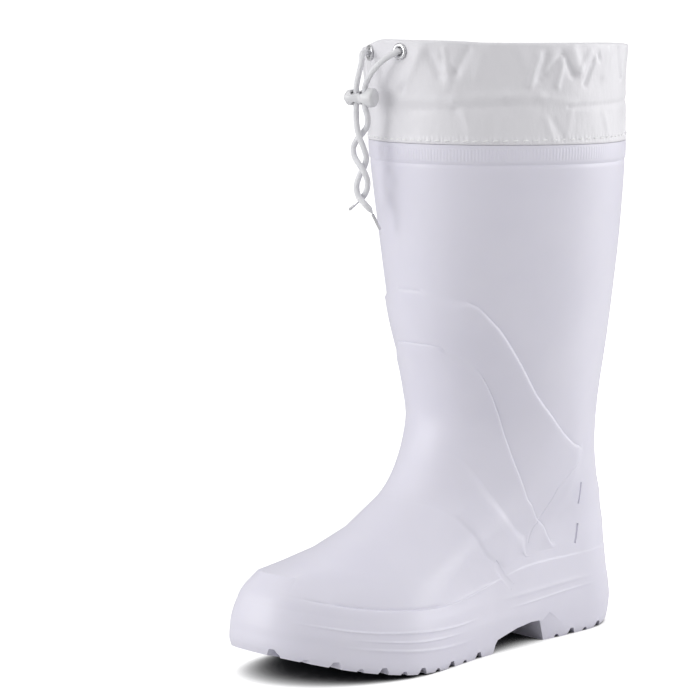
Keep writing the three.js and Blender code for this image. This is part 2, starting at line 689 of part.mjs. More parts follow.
// Cuff: fabric tube, its top edge a thicker channel, raised a little at the cord's exit
const exitTurn = Math.PI * 1.03;
const exitRise = 6;
function cuffPoint(v, turn, out) {
  const p = lifted(v, turn, out);
  const near = Math.exp(-(((turn - exitTurn) / 0.3) ** 2));
  p.z += exitRise * near * smoothstep(v, TOP - 1.2, TOP);
  return p;
}
const CHANNEL = TOP - 0.6;
const CUFF_RINGS = [
  [HEM + 0.04, 0], [HEM + 0.5, 0], [HEM + 1, 0], [TOP - 1, 0], [CHANNEL, 0],
  [TOP - 0.3, 0], [TOP - 0.05, 0], [TOP, -0.8], [TOP, -channelWall + 0.8],
  [TOP - 0.05, -channelWall], [CHANNEL, -channelWall], [CHANNEL - 0.12, -fabricWall],
  [TOP - 1, -fabricWall], [HEM + 1, -fabricWall], [HEM + 0.5, -fabricWall],
  [HEM + 0.04, -fabricWall],
];

// The two eyelets: turn round the boot and height of their centres
const EYELETS = {
  lateral: { turn: Math.PI * 0.974, z: seamHeight + cuffHeight - 1.4 },
  medial: { turn: Math.PI * 1.105, z: seamHeight + cuffHeight - 3 },
};
function eyeletFrame({ turn, z }) {
  let place = TOP;
  while (cuffPoint(place, turn, 0).z > z) place -= 0.005;
  const centre = cuffPoint(place, turn, 0);
  const out = normal(place, turn).setZ(0).normalize();
  const turnX = new THREE.Quaternion().setFromUnitVectors(new THREE.Vector3(1, 0, 0), out);
  return { centre, out, matrix: new THREE.Matrix4().compose(centre, turnX,
    new THREE.Vector3(1, 1, 1)) };
}
const moved = (body, matrix) => body.transform(matrix.elements);

function cuff() {
  let body = sleeve(CUFF_RINGS.map(([v, out]) => around(ROUND,
    (turn) => cuffPoint(v, turn, out))));
  for (const spot of Object.values(EYELETS)) {
    const hole = rod(-2.6, 4, barrelOfEyelet + gap, 24);
    body = body.subtract(moved(hole, eyeletFrame(spot).matrix));
  }
  return body;
}

function eyelet() {
  const back = -1.6;
  const front = gap + 0.15;
  const ring = turned([[back, 0], [back, barrelOfEyelet], [front, barrelOfEyelet],
    [front, eyeletRadius], [front + 0.5, eyeletRadius], [front + eyeletHeight, eyeletRadius - 1],
    [front + eyeletHeight, eyeletBore + 0.5], [front + 0.8, eyeletBore], [front + 0.8, 0]], 24);
  return ring.subtract(rod(back - 1, front + 3, eyeletBore, 24));
}

// Cord routes, hand set: across, forward from the heel and up, from the eyelet to the tip
const at = ([x, f, z]) => new THREE.Vector3(x, soleLength / 2 - f, z);
const ROUTES = {
  lateral: [
    [4.9, 190.3, 384.7], [-0.1, 193.3, 381.3], [-6.1, 195.5, 375.2], [-10.6, 196.2, 369.6],
    [-13.6, 196.0, 364.2], [-13.8, 196.0, 357.5], [-13.8, 196.0, 351.6], [-12.4, 195.2, 346.2],
    [-13.5, 194.0, 340.2], [-18.4, 193.6, 334.8], [-22.6, 194.4, 330.6], [-24.0, 196.0, 326.0],
    [-21.6, 197.6, 320.5], [-16.2, 198.6, 315.6], [-12.2, 198.0, 311.0], [-11.2, 196.0, 304.7],
    [-14.6, 194.0, 298.2], [-19.6, 192.8, 293.8], [-23.8, 192.6, 290.9],
  ],
  medial: [
    [-22.0, 190.2, 384.6], [-19.0, 193.6, 380.8], [-17.8, 196.4, 375.3], [-18.4, 197.8, 369.1],
    [-19.4, 198.0, 363.6], [-19.4, 198.0, 357.5], [-19.4, 198.0, 352.0], [-18.8, 198.4, 341.5],
    [-16.2, 198.6, 333.1], [-13.4, 197.4, 326.0], [-13.2, 195.2, 319.4], [-17.0, 193.6, 313.4],
    [-20.8, 194.0, 307.8], [-21.2, 196.0, 301.0], [-17.2, 198.0, 295.0], [-11.8, 197.6, 290.6],
    [-9.8, 194.6, 286.5], [-9.7, 191.6, 282.0],
  ],
};
const TIP_TAPER = 5;
const tipRadius = 0.35;
const radiusLeft = (left) => lerp(tipRadius, cordRadius,
  smoothstep(left, agletSeat, agletSeat + TIP_TAPER));

function drawcord(side) {
  const { centre, out } = eyeletFrame(EYELETS[side]);
  const start = [-1.2, 0.6, 2.6].map((d) => centre.clone().addScaledVector(out, d));
  return cord([...start, ...ROUTES[side].map(at)], radiusLeft, 48, 8);
}

// Metal tip over the cord's tapered end
function aglet(path) {
  const end = path.getPointAt(1);
  const along1 = path.getTangentAt(1);
  const bottom = agletSeat;
  const body = turned([[0, 0], [0, agletRadius], [agletLength - 0.6, agletRadius],
    [agletLength, agletRadius - 0.4], [agletLength, 0]], 12)
    .subtract(rod(-1, bottom + gap, agletBore, 12));
  const turnX = new THREE.Quaternion().setFromUnitVectors(new THREE.Vector3(1, 0, 0), along1);
  const mouth = end.clone().addScaledVector(along1, -bottom);
  return moved(body, new THREE.Matrix4().compose(mouth, turnX, new THREE.Vector3(1, 1, 1)));
}

// Cord lock: a two-lobed barrel with two cord holes and a sprung push button in its bore
const lockCentre = at([-16.6, 197.0, 357.5]);
const lockMatrix = new THREE.Matrix4().makeRotationZ(lockTurn).setPosition(lockCentre);
const upright = (radius, shift) => rod(-9, 9, radius, 16).rotate([0, 90, 0])
  .translate([shift, 0, 0]);
const boreEnd = 9.3;
function lockBarrel() {
  const outer = turned([[-9.2, 0], [-9.2, 4.3], [-8.2, 4.75], [-6.4, 5.0], [-4.2, 4.95],
    [-1.6, 4.55], [-0.2, 4.45], [1.2, 4.8], [2.8, 5.7], [4.2, 6.1], [8.6, 6.1], [9.8, 5.7],
    [10.5, 4.6], [10.5, 0]], 20);
  const holes = [-lockHoleShift, lockHoleShift].map((s) => upright(lockHoleRadius, s));
  return moved(outer.subtract(wasm.Manifold.union([rod(-10, boreEnd, lockBore, 20), ...holes])),
    lockMatrix);
}
function lockButton() {
  const end = boreEnd - buttonTravel - gap;
  const body = turned([[-11.2, 0], [-11.1, 1.6], [-10.6, 2.6], [-9.8, buttonRadius],
    [end, buttonRadius], [end, 0]], 20);
  const reach = lockHoleShift + slotHalf;
  const slot = wasm.Manifold.cube([2 * reach + buttonTravel, 2 * slotHalf, 20], true)
    .translate([-buttonTravel / 2, 0, 0]);
  return moved(body.subtract(slot), lockMatrix);
}

// Scene

const LOOKS = {
  foam: { color: 0xe6e5ee, roughness: 0.42, metalness: 0 },
  liner: { color: 0xd9d8d6, roughness: 0.9, metalness: 0 },
  fabric: { color: 0xe8e8ea, roughness: 0.6, metalness: 0 },
  metal: { color: 0xb8b9bd, roughness: 0.25, metalness: 1 },
  cord: { color: 0xefeff1, roughness: 0.85, metalness: 0 },
  plastic: { color: 0xeeeeee, roughness: 0.4, metalness: 0 },
};

function meshOf(name, body, look) {
  const data = body.getMesh();
  const geometry = new THREE.BufferGeometry();
  const places = new Float32Array((data.vertProperties.length / data.numProp) * 3);
  for (let k = 0; k < places.length / 3; k += 1) {
    for (let m = 0; m < 3; m += 1) places[3 * k + m] = data.vertProperties[data.numProp * k + m];
  }
  geometry.setAttribute('position', new THREE.BufferAttribute(places, 3));
  geometry.setIndex(new THREE.BufferAttribute(new Uint32Array(data.triVerts), 1));
  geometry.computeVertexNormals();
  const mesh = new THREE.Mesh(geometry, new THREE.MeshStandardMaterial(LOOKS[look]));
  mesh.name = name;
  return mesh;
}

const cords = { lateral: drawcord('lateral'), medial: drawcord('medial') };
const boot = new THREE.Group();
boot.name = 'rubber_boot';
boot.add(meshOf('moulded_shell', mouldedShell(), 'foam'));
boot.add(meshOf('insole', insole(), 'liner'));
boot.add(meshOf('cuff', cuff(), 'fabric'));
for (const side of ['lateral', 'medial']) {
  const ring = moved(eyelet(), eyeletFrame(EYELETS[side]).matrix);
  boot.add(meshOf(`eyelet_${side}`, ring, 'metal'));
  boot.add(meshOf(`drawcord_${side}`, cords[side].body, 'cord'));
  boot.add(meshOf(`aglet_${side}`, aglet(cords[side].path), 'metal'));
}
boot.add(meshOf('cord_lock_barrel', lockBarrel(), 'plastic'));
boot.add(meshOf('cord_lock_button', lockButton(), 'plastic'));

const box = new THREE.Box3().setFromObject(boot);
boot.position.set(-(box.min.x + box.max.x) / 2, -(box.min.y + box.max.y) / 2, -box.min.z);
boot.updateMatrixWorld(true);

export default boot;
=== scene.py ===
"""Moulded foam rain boot, left foot, with a drawstring cuff.

All shapes are worked out in millimetres in the boot's own measures (across, forward from
the heel, up) and put into the frame in metres, toe towards -Y and outer side towards +X.
"""

import math
from functools import lru_cache

import bmesh
import bpy
import numpy as np
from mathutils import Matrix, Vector


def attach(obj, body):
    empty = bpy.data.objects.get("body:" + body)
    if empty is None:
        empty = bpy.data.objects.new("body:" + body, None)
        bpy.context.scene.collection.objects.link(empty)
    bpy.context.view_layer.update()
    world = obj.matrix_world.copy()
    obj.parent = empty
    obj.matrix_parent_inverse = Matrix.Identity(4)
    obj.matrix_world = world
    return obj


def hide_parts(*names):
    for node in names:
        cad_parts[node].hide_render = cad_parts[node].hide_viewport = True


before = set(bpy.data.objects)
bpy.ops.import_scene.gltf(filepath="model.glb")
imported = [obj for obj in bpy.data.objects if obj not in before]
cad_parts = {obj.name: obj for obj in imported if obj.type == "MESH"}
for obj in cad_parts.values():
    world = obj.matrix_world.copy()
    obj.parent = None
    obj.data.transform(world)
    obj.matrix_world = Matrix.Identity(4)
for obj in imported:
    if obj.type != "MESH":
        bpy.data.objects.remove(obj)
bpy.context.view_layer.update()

# Driving sizes, as in the solids
SOLE_LENGTH = 300
BALL_WIDTH = 113
SOLE_SIDE = 43
SEAM_HEIGHT = 329
TOP_DEPTH = 182
TOP_WIDTH = 155
CUFF_HEIGHT = 59
SHAFT_BACK = -2.3
TO_CENTRE = -1.453     # moves the boot's box to the middle of the frame

# Heights are given at these shares of a section's depth, from back to front
STATIONS = np.array([0, 0.2, 0.36, 0.5, 0.6, 0.72, 0.85, 1.0])
# Between these shares the half width passes from the heel's to the waist's to the ball's
HEEL_SHARE, WAIST_SHARE, BALL_SHARE = 0.15, 0.45, 0.75
# Columns of a section's row
BACK, FRONT, HEIGHTS, OUTER, INNER = 0, 1, slice(2, 10), 10, 13
HEEL_ROUND, TOE_ROUND, SQUARE, SWING = 16, 17, 18, 19
# Step for differences on the base form, in loft places and radians
NEAR = 0.02

# Name, back, front, heights, outer half widths, inner half widths (heel, waist, ball),
# rounding of heel and toe, squareness, swing of the toe
SOLE_SECTIONS = [
    ("ground", 0.016, 0.997,
     (0, 0, 0, 0, 0, 0.047, 0.2, 0.472),
     (0.385, 0.405, 0.51), (0.37, 0.34, 0.465),
     0.15, 0.36, 2.3, 0.106),
    ("lug", 0.004, 1.002,
     (0.093, 0.093, 0.093, 0.093, 0.093, 0.14, 0.293, 0.6),
     (0.395, 0.412, 0.52), (0.38, 0.35, 0.474),
     0.15, 0.36, 2.3, 0.106),
    ("rib3", -0.003, 1,
     (0.36, 0.37, 0.39, 0.34, 0.33, 0.4, 0.54, 0.76),
     (0.4, 0.415, 0.522), (0.385, 0.352, 0.475),
     0.15, 0.36, 2.3, 0.106),
    ("rib2", -0.002, 0.998,
     (0.53, 0.53, 0.52, 0.49, 0.485, 0.53, 0.66, 0.88),
     (0.4, 0.415, 0.52), (0.385, 0.352, 0.473),
     0.15, 0.36, 2.3, 0.105),
    ("rib1", 0.003, 0.993,
     (0.77, 0.725, 0.66, 0.63, 0.615, 0.68, 0.785, 1.02),
     (0.398, 0.41, 0.512), (0.383, 0.352, 0.466),
     0.15, 0.36, 2.28, 0.104),
    ("rear", 0.006, 0.986,
     (0.87, 0.855, 0.815, 0.79, 0.76, 0.8, 0.91, 1.15),
     (0.395, 0.405, 0.5), (0.38, 0.354, 0.456),
     0.15, 0.36, 2.26, 0.102),
    ("ledge", 0.009, 0.974,
     (1.25, 1.24, 1.215, 1.03, 0.935, 0.97, 1.08, 1.32),
     (0.385, 0.395, 0.477), (0.37, 0.356, 0.436),
     0.16, 0.36, 2.24, 0.098),
]
FOOT_SECTIONS = [
    ("toe", 0.003, 0.938,
     (0.21, 0.207, 0.202, 0.186, 0.172, 0.171, 0.181, 0.204),
     (0.377, 0.387, 0.435), (0.362, 0.358, 0.405),
     0.19, 0.38, 2.15, 0.085),
    ("vamp", 0.005, 0.846,
     (0.243, 0.241, 0.236, 0.226, 0.215, 0.208, 0.207, 0.216),
     (0.375, 0.388, 0.405), (0.361, 0.363, 0.385),
     0.22, 0.42, 2.05, 0.07),
    ("instep", 0.008, 0.722,
     (0.274, 0.272, 0.269, 0.263, 0.257, 0.252, 0.248, 0.249),
     (0.382, 0.402, 0.395), (0.37, 0.388, 0.382),
     0.26, 0.45, 2, 0.045),
    ("bend", 0.025, 0.59,
     (0.313, 0.314, 0.315, 0.316, 0.317, 0.319, 0.321, 0.3235),
     (0.398, 0.425, 0.405), (0.388, 0.41, 0.397),
     0.32, 0.47, 2, 0.025),
    ("ankle", 0.036, 0.527,
     (0.38, 0.389, 0.397, 0.406, 0.412, 0.419, 0.427, 0.4345),
     (0.425, 0.452, 0.435), (0.415, 0.443, 0.427),
     0.4, 0.48, 2, 0.008),
    ("calf", 0.031, 0.529,
     (0.471, 0.48, 0.488, 0.494, 0.499, 0.505, 0.51, 0.5155),
     (0.47, 0.495, 0.475), (0.465, 0.487, 0.47),
     0.46, 0.5, 2, 0),
]
SHAFT_SECTIONS = [
    ("shin", 0.022, 0.938,
     (0.608, 0.617, 0.624, 0.631, 0.636, 0.641, 0.647, 0.6535),
     (0.387, 0.4, 0.387), (0.387, 0.4, 0.387),
     0.5, 0.5, 2, 0),
    ("upper", -0.002, 0.972,
     (0.796, 0.801, 0.805, 0.808, 0.811, 0.814, 0.817, 0.8205),
     (0.445, 0.458, 0.445), (0.445, 0.458, 0.445),
     0.5, 0.5, 2, 0),
    ("groove", -0.003, 0.996,
     (0.955, 0.956, 0.957, 0.958, 0.959, 0.96, 0.961, 0.962),
     (0.489, 0.5, 0.489), (0.489, 0.5, 0.489),
     0.5, 0.5, 2, 0),
    ("hem", -0.002, 1,
     (0.993, 0.994, 0.995, 0.996, 0.997, 0.998, 0.999, 1),
     (0.494, 0.505, 0.494), (0.494, 0.505, 0.494),
     0.5, 0.5, 2, 0),
]
CUFF_SECTIONS = [
    ("cuffLow", -0.002, 1.006,
     (0.312, 0.318, 0.323, 0.329, 0.335, 0.34, 0.346, 0.351),
     (0.495, 0.506, 0.495), (0.495, 0.506, 0.495),
     0.5, 0.5, 2, 0),
    ("cuffMid", -0.003, 1.022,
     (0.658, 0.658, 0.658, 0.658, 0.658, 0.658, 0.658, 0.658),
     (0.495, 0.505, 0.495), (0.495, 0.505, 0.495),
     0.5, 0.5, 2, 0),
    ("cuffTop", -0.01, 1.032,
     (0.998, 0.998, 0.998, 0.998, 0.998, 0.998, 0.998, 0.998),
     (0.503, 0.508, 0.495), (0.503, 0.508, 0.495),
     0.5, 0.5, 2, 0),
]


def section_rows(sections, depth, width, height, shift, base):
    """Sections in millimetres: back, front, 8 heights, 3 + 3 half widths and the 4 form values."""
    rows = []
    for _, back, front, z, lat, med, heel, toe, square, swing in sections:
        row = [shift + back * depth, shift + front * depth]
        row += [base + q * height for q in z]
        row += [q * width for q in lat] + [q * width for q in med]
        rows.append(row + [heel, toe, square, swing * width])
    return rows


SECTIONS = np.array(
    section_rows(SOLE_SECTIONS, SOLE_LENGTH, BALL_WIDTH, SOLE_SIDE, 0, 0)
    + section_rows(FOOT_SECTIONS, SOLE_LENGTH, BALL_WIDTH, SEAM_HEIGHT, 0, 0)
    + section_rows(SHAFT_SECTIONS, TOP_DEPTH, TOP_WIDTH, SEAM_HEIGHT, SHAFT_BACK, 0)
    + section_rows(CUFF_SECTIONS, TOP_DEPTH, TOP_WIDTH, CUFF_HEIGHT, SHAFT_BACK, SEAM_HEIGHT)
)
LEDGE = len(SOLE_SECTIONS) - 1
REAR = LEDGE - 1
TOP = len(SECTIONS) - 1
HEM = TOP - len(CUFF_SECTIONS)
GROOVE = HEM - 1


def smooth(x, low, high):
    """0 below low, 1 above high, 3s^2 - 2s^3 between."""
    s = np.clip((x - low) / (high - low), 0, 1)
    return s * s * (3 - 2 * s)


def bell(x, middle, width):
    """Bell curve: e to the power of -((x - middle) / width)^2."""
    return np.exp(-(((x - middle) / width) ** 2))


def spell(x, rise, fall=(1, 2)):
    """0, up to 1 over the span rise, and down again over the span fall."""
    return smooth(x, *rise) * (1 - smooth(x, *fall))


def hermite(p0, m0, p1, m1, u):
    """Cubic through p0 and p1 with end slopes m0 and m1."""
    return (
        (2 * u**3 - 3 * u**2 + 1) * p0
        + (u**3 - 2 * u**2 + u) * m0
        + (3 * u**2 - 2 * u**3) * p1
        + (u**3 - u**2) * m1
    )


def curve(xs, ys, x):
    """Smooth curve through (xs, ys); ys may hold one row of values for each x."""
    n = len(xs)
    i = np.clip(np.searchsorted(xs, x, side="left") - 1, 0, n - 2)
    if ys.ndim == 1:
        take = lambda k: ys[k]
    else:
        take = lambda k: np.take_along_axis(ys, k[..., None], axis=-1)[..., 0]

    def slope(k):
        a = np.maximum(k - 1, 0)
        b = np.minimum(k + 1, n - 1)
        return (take(b) - take(a)) / (xs[b] - xs[a])

    h = xs[i + 1] - xs[i]
    u = np.clip((x - xs[i]) / h, 0, 1)
    return hermite(take(i), h * slope(i), take(i + 1), h * slope(i + 1), u)


def corner(s, power):
    """Rounded end of a section: (1 - (1 - s)^p)^(1/p)."""
    return np.maximum(1 - (1 - np.clip(s, 0, 1)) ** power, 0) ** (1 / power)


def depth_share(turn):
    """Share of a section's depth at each turn: (1 - cos(turn)) / 2."""
    return (1 - np.cos(turn)) / 2


def surface(v, turn):
    """Points of the boot's base form: v counts the named sections, turn is 0 at the back,
    a quarter turn at the outer side and a half turn at the front. Between sections every
    value follows a cubic; the half width is rounded off towards both ends."""
    v, turn = np.broadcast_arrays(np.asarray(v, float), np.asarray(turn, float))
    n = len(SECTIONS) - 1
    i = np.clip(np.floor(v).astype(int), 0, n - 1)
    low, high = SECTIONS[i], SECTIONS[i + 1]
    before, after = SECTIONS[np.maximum(i - 1, 0)], SECTIONS[np.minimum(i + 2, n)]
    start = np.where(i == 0, 1.0, 0.5)[..., None]
    end = np.where(i + 2 > n, 1.0, 0.5)[..., None]
    s = hermite(low, (high - before) * start, high, (after - low) * end, (v - i)[..., None])
    t = depth_share(turn)
    outer = np.sin(turn) >= 0
    w = [np.where(outer, s[..., OUTER + k], s[..., INNER + k]) for k in range(3)]
    rear = w[0] + (w[1] - w[0]) * smooth(t, HEEL_SHARE, WAIST_SHARE)
    fore = w[1] + (w[2] - w[1]) * smooth(t, WAIST_SHARE, BALL_SHARE)
    breadth = np.where(t <= WAIST_SHARE, rear, fore)
    square = s[..., SQUARE]
    ends = corner(t / s[..., HEEL_ROUND], square) * corner((1 - t) / s[..., TOE_ROUND], square)
    swing = s[..., SWING] * np.clip((t - WAIST_SHARE) / (1 - WAIST_SHARE), 0, 1) ** 2
    x = np.where(outer, 1, -1) * breadth * ends - swing
    forward = s[..., BACK] + (s[..., FRONT] - s[..., BACK]) * t
    z = curve(STATIONS, s[..., HEIGHTS], t)
    return np.stack([x, SOLE_LENGTH / 2 - forward, z], -1)


def unit(a):
    """Vectors divided by their length."""
    return a / np.maximum(np.linalg.norm(a, axis=-1, keepdims=True), 1e-12)


def normal(v, turn):
    """Outward direction of the base form: cross product of differences along v and turn."""
    above, below = np.minimum(v + NEAR, TOP), np.maximum(v - NEAR, 0)
    up = surface(above, turn) - surface(below, turn)
    side = surface(v, turn + NEAR) - surface(v, turn - NEAR)
    return unit(np.cross(up, side))


def lifted(v, turn, out):
    """Base form moved out along its normal by so many millimetres."""
    return surface(v, turn) + normal(v, turn) * np.asarray(out, float)[..., None]


def turn_at(t, side=1):
    """Turn at a share of the depth, on the outer side (1) or the inner one (-1)."""
    return side * np.arccos(1 - 2 * np.clip(t, 0, 1))


# Loft places at which heights are looked up
V_TABLE = np.linspace(0, TOP, 1501)


def place_at(turn, z):
    """Loft place v whose height is z at each turn, read from a fine table."""
    turn = np.atleast_1d(np.asarray(turn, float))
    heights = surface(V_TABLE[:, None], turn[None, :])[..., 2]
    k = np.clip((heights < z).sum(0), 1, len(V_TABLE) - 1)
    cols = np.arange(len(turn))
    low, high = heights[k - 1, cols], heights[k, cols]
    part = np.clip((z - low) / np.maximum(high - low, 1e-6), 0, 1)
    return V_TABLE[k - 1] + (V_TABLE[1] - V_TABLE[0]) * part


def metres(points):
    """Millimetres about the boot's own middle to the frame, in metres."""
    return (np.asarray(points, float) + [0, TO_CENTRE, 0]) / 1000


# Meshes


def make_object(name, points, faces, smooth_faces=True):
    """Object from points in millimetres and faces, its place in its mesh."""
    mesh = bpy.data.meshes.new(name)
    mesh.from_pydata(metres(points).reshape(-1, 3).tolist(), [], faces)
    mesh.validate()
    mesh.polygons.foreach_set("use_smooth", [smooth_faces] * len(mesh.polygons))
    mesh.update()
    piece = bpy.data.objects.new(name, mesh)
    bpy.context.scene.collection.objects.link(piece)
    return piece


def grid_faces(rows, cols, ring=True, loop=False):
    """Quads of a grid of rows by cols points, closed round its columns or its rows."""
    i = np.arange(rows if loop else rows - 1)[:, None]
    j = np.arange(cols if ring else cols - 1)[None, :]
    a = i * cols + j
    b = i * cols + (j + 1) % cols
    c = (i + 1) % rows * cols + (j + 1) % cols
    d = (i + 1) % rows * cols + j
    return np.stack([a, b, c, d], -1).reshape(-1, 4).tolist()


def cap_faces(start, n, up):
    """Quads straight across a ring of n points, from side to side, facing as the grid's do."""
    j = np.arange(n // 2)
    quads = np.stack([j, j + 1, (n - j - 1) % n, (n - j) % n], -1)
    faces = []
    for q in quads.tolist():
        face = list(dict.fromkeys(q))
        if len(face) > 2:
            faces.append([start + k for k in (face if up else face[::-1])])
    return faces


def outward(piece):
    """Turns a closed mesh's faces outwards where its volume comes out negative."""
    work = bmesh.new()
    work.from_mesh(piece.data)
    if work.calc_volume(signed=True) < 0:
        bmesh.ops.reverse_faces(work, faces=work.faces)
    work.to_mesh(piece.data)
    work.free()
    return piece


def apply_modifiers(piece):
    """Puts the piece's modifiers into its mesh."""
    graph = bpy.context.evaluated_depsgraph_get()
    mesh = bpy.data.meshes.new_from_object(piece.evaluated_get(graph))
    piece.modifiers.clear()
    piece.data = mesh
    return piece


def cut(piece, cutters, angle=32):
    """Takes closed cutters out of a closed piece, then marks its sharp edges."""
    for cutter in cutters:
        step = piece.modifiers.new("cut", "BOOLEAN")
        step.operation = "DIFFERENCE"
        step.solver = "MANIFOLD"
        step.object = cutter
    apply_modifiers(piece)
    for cutter in cutters:
        bpy.data.objects.remove(cutter)
    piece.data.polygons.foreach_set("use_smooth", [True] * len(piece.data.polygons))
    piece.data.set_sharp_from_angle(angle=math.radians(angle))
    return piece


def fan_faces(rows, count):
    """Triangles from two points, kept after a grid of rows by count, to its first and last row."""
    k, first = np.arange(count), rows * count
    top = first - count
    start = np.stack([np.full(count, first), (k + 1) % count, k], -1)
    end = np.stack([np.full(count, first + 1), top + k, top + (k + 1) % count], -1)
    return start.tolist() + end.tolist()


def circle(count, side, third):
    """Points of a unit circle: cos(a) times one direction plus sin(a) times the other."""
    a = np.linspace(0, 2 * math.pi, count, endpoint=False)[:, None]
    return np.cos(a) * side + np.sin(a) * third


def lathe(name, profile, frame_axes, centre, count=48, angle=35):
    """Turned body: pairs (place along the axis, radius) carried round it."""
    along, side, third = frame_axes
    s, r = np.array(profile, float).T
    inner = slice(1, -1)
    ring = circle(count, side, third)
    points = centre + s[inner, None, None] * along + r[inner, None, None] * ring
    rows = len(s) - 2
    ends = np.array([centre + s[0] * along, centre + s[-1] * along])
    faces = grid_faces(rows, count) + fan_faces(rows, count)
    piece = outward(make_object(name, np.vstack([points.reshape(-1, 3), ends]), faces))
    piece.data.set_sharp_from_angle(angle=math.radians(angle))
    return piece


def axes_along(direction):
    """Three right-angled directions, the first along the given one."""
    along = unit(np.asarray(direction, float))
    helper = np.array([0, 0, 1.0]) if abs(along[2]) < 0.9 else np.array([1.0, 0, 0])
    side = unit(np.cross(helper, along))
    return along, side, np.cross(along, side)


# Moulded shell

# Heights of the reliefs, walls and clearances
LEDGE_STEP = 0.8
HEEL_STEP = 0.5
RIB_HEIGHT = 0.5
COLLAR_STEP = 0.25
GROOVE_DEPTH = 0.5
BAND_HEIGHT = 1.45
PANEL_HEIGHT = 0.9
ANKLE_HEIGHT = 0.62
FLANGE_HEIGHT = 14
FABRIC_WALL = 1.45
CLEARANCE = 0.35
WALL_SOLE = 12.0
FLOOR_THICKNESS = 20
HEEL_FLOOR = 28
FLOOR_FILLET = 1.2
FLOOR_SPAN = (0.3, 0.62)
SPRING_SHARE = 0.7

# Edges of the two raised straps: share of the section's depth, share of the seam height
SHIN_UPPER = [
    (0.0, 0.200), (0.10, 0.200), (0.18, 0.215), (0.20, 0.26), (0.25, 0.32), (0.297, 0.374),
    (0.392, 0.397), (0.478, 0.4255), (0.561, 0.4625), (0.650, 0.5105), (0.727, 0.576),
    (0.797, 0.6355), (0.838, 0.662), (0.872, 0.684), (0.933, 0.7025), (0.965, 0.709),
    (0.985, 0.714), (1.0, 0.716),
]
SHIN_LOWER = [
    (0.0, 0.165), (0.20, 0.165), (0.262, 0.168), (0.272, 0.188), (0.29, 0.204), (0.340, 0.2331),
    (0.427, 0.2570), (0.500, 0.280), (0.578, 0.304), (0.678, 0.3596), (0.742, 0.403),
    (0.791, 0.445), (0.842, 0.513), (0.889, 0.566), (0.939, 0.5945), (0.965, 0.6035),
    (0.985, 0.608), (1.0, 0.610),
]
ANKLE_UPPER = [
    (0.0, 0.165), (0.25, 0.165), (0.352, 0.168), (0.366, 0.190), (0.388, 0.216),
    (0.422, 0.2275), (0.478, 0.241), (0.55, 0.2575), (0.634, 0.280), (0.754, 0.3185),
    (0.847, 0.359), (0.88, 0.374), (0.92, 0.390), (1.0, 0.402),
]
ANKLE_LOWER = [
    (0.0, 0.160), (0.36, 0.155), (0.418, 0.157), (0.456, 0.173), (0.544, 0.2035),
    (0.612, 0.224), (0.691, 0.2445), (0.76, 0.262), (0.815, 0.276), (0.92, 0.299), (1.0, 0.308),
]
# Fine line between heel and ankle, and the two slots behind it
HEEL_LINE = [
    (0.300, 0.371), (0.340, 0.355), (0.375, 0.338), (0.405, 0.3235), (0.428, 0.310),
    (0.420, 0.284), (0.405, 0.258), (0.388, 0.231), (0.371, 0.2055),
]
# The ankle band's lower edge runs on across the ledge as a soft furrow
LEDGE_FURROW = [
    (0.474, 0.179), (0.458, 0.1695), (0.440, 0.1555), (0.412, 0.1335), (0.401, 0.1255),
]
UPPER_SLOT = [(0.273, 0.309), (0.263, 0.2965), (0.249, 0.281), (0.235, 0.264)]
LOWER_SLOT = [(0.196, 0.2235), (0.193, 0.2105), (0.191, 0.1975), (0.192, 0.1845)]
# Lines cut into the skin: table, width, depth, steps, share that fades at both ends
LINES = [
    (HEEL_LINE, 1.7, 0.25, 48, 0.15),
    (LEDGE_FURROW, 5.0, 0.18, 24, 0.45),
    (UPPER_SLOT, 2.0, 1.0, 8, 0),
    (LOWER_SLOT, 2.0, 1.0, 8, 0),
]
# Section of such a cut: shares of its width, shares of its depth or a height above the skin
LINE_PROFILE = [(-0.62, 1.0), (-0.5, 0.0), (-0.36, -0.7), (-0.14, -1.0), (0.14, -1.0),
                (0.36, -0.7), (0.5, 0.0), (0.62, 1.0)]

# Ribs of the sole's side: place, shares of the depth where they start and end, strength
SOLE_RIBS = [(2, 0.60, 0.86, 0.8), (3, 0.63, 0.84, 0.8), (3.9, 0.58, 0.94, 1.0),
             (4, 0.18, 0.39, 0.5), (5, 0.18, 0.41, 0.6)]
RIB_WIDTH = 0.12
# Over which shares of the depth, from its start and its end, a rib sets in and fades
RIB_START, RIB_END = (-0.08, 0.04), (-0.06, 0.04)
# The ledge above them: spans are shares of the depth over which each effect sets in or ends
UPPER_START = LEDGE + 0.2
TOE_SPAN = (0.9, 0.99)
LEDGE_SHARP, LEDGE_SOFT = 0.10, 1.6
HEEL_SPAN = (0.15, 0.30)
BACK_SHARE = 0.3
FORE_SPAN = (0.42, 0.52)
WAIST_DROP, WAIST_SPANS = 0.35, ((0.36, 0.40), (0.45, 0.49))
BEAD_HEIGHT, BEAD_SPANS = 0.3, ((0.46, 0.49), (0.56, 0.62))
CREASE_DEPTH, CREASE_SPANS = 0.5, ((0.60, 0.68), (0.93, 0.97))
LIP_WIDTH = 0.06
GROOVE_WIDTH = 0.04
# Where the straps' heights set in and end
ANKLE_SPANS = (0.34, 0.40), (0.86, 0.93)
ANKLE_LOW_SHARE, ANKLE_LOW_SPANS = 0.75, ((0.40, 0.44), (0.80, 0.85))
PANEL_SPAN = (0.262, 0.30)
SHIN_SPAN = (0.29, 0.36)
SHIN_EASE, SHIN_EASE_SPAN = 0.4, (0.90, 0.97)
PANEL_BOW = 1.6
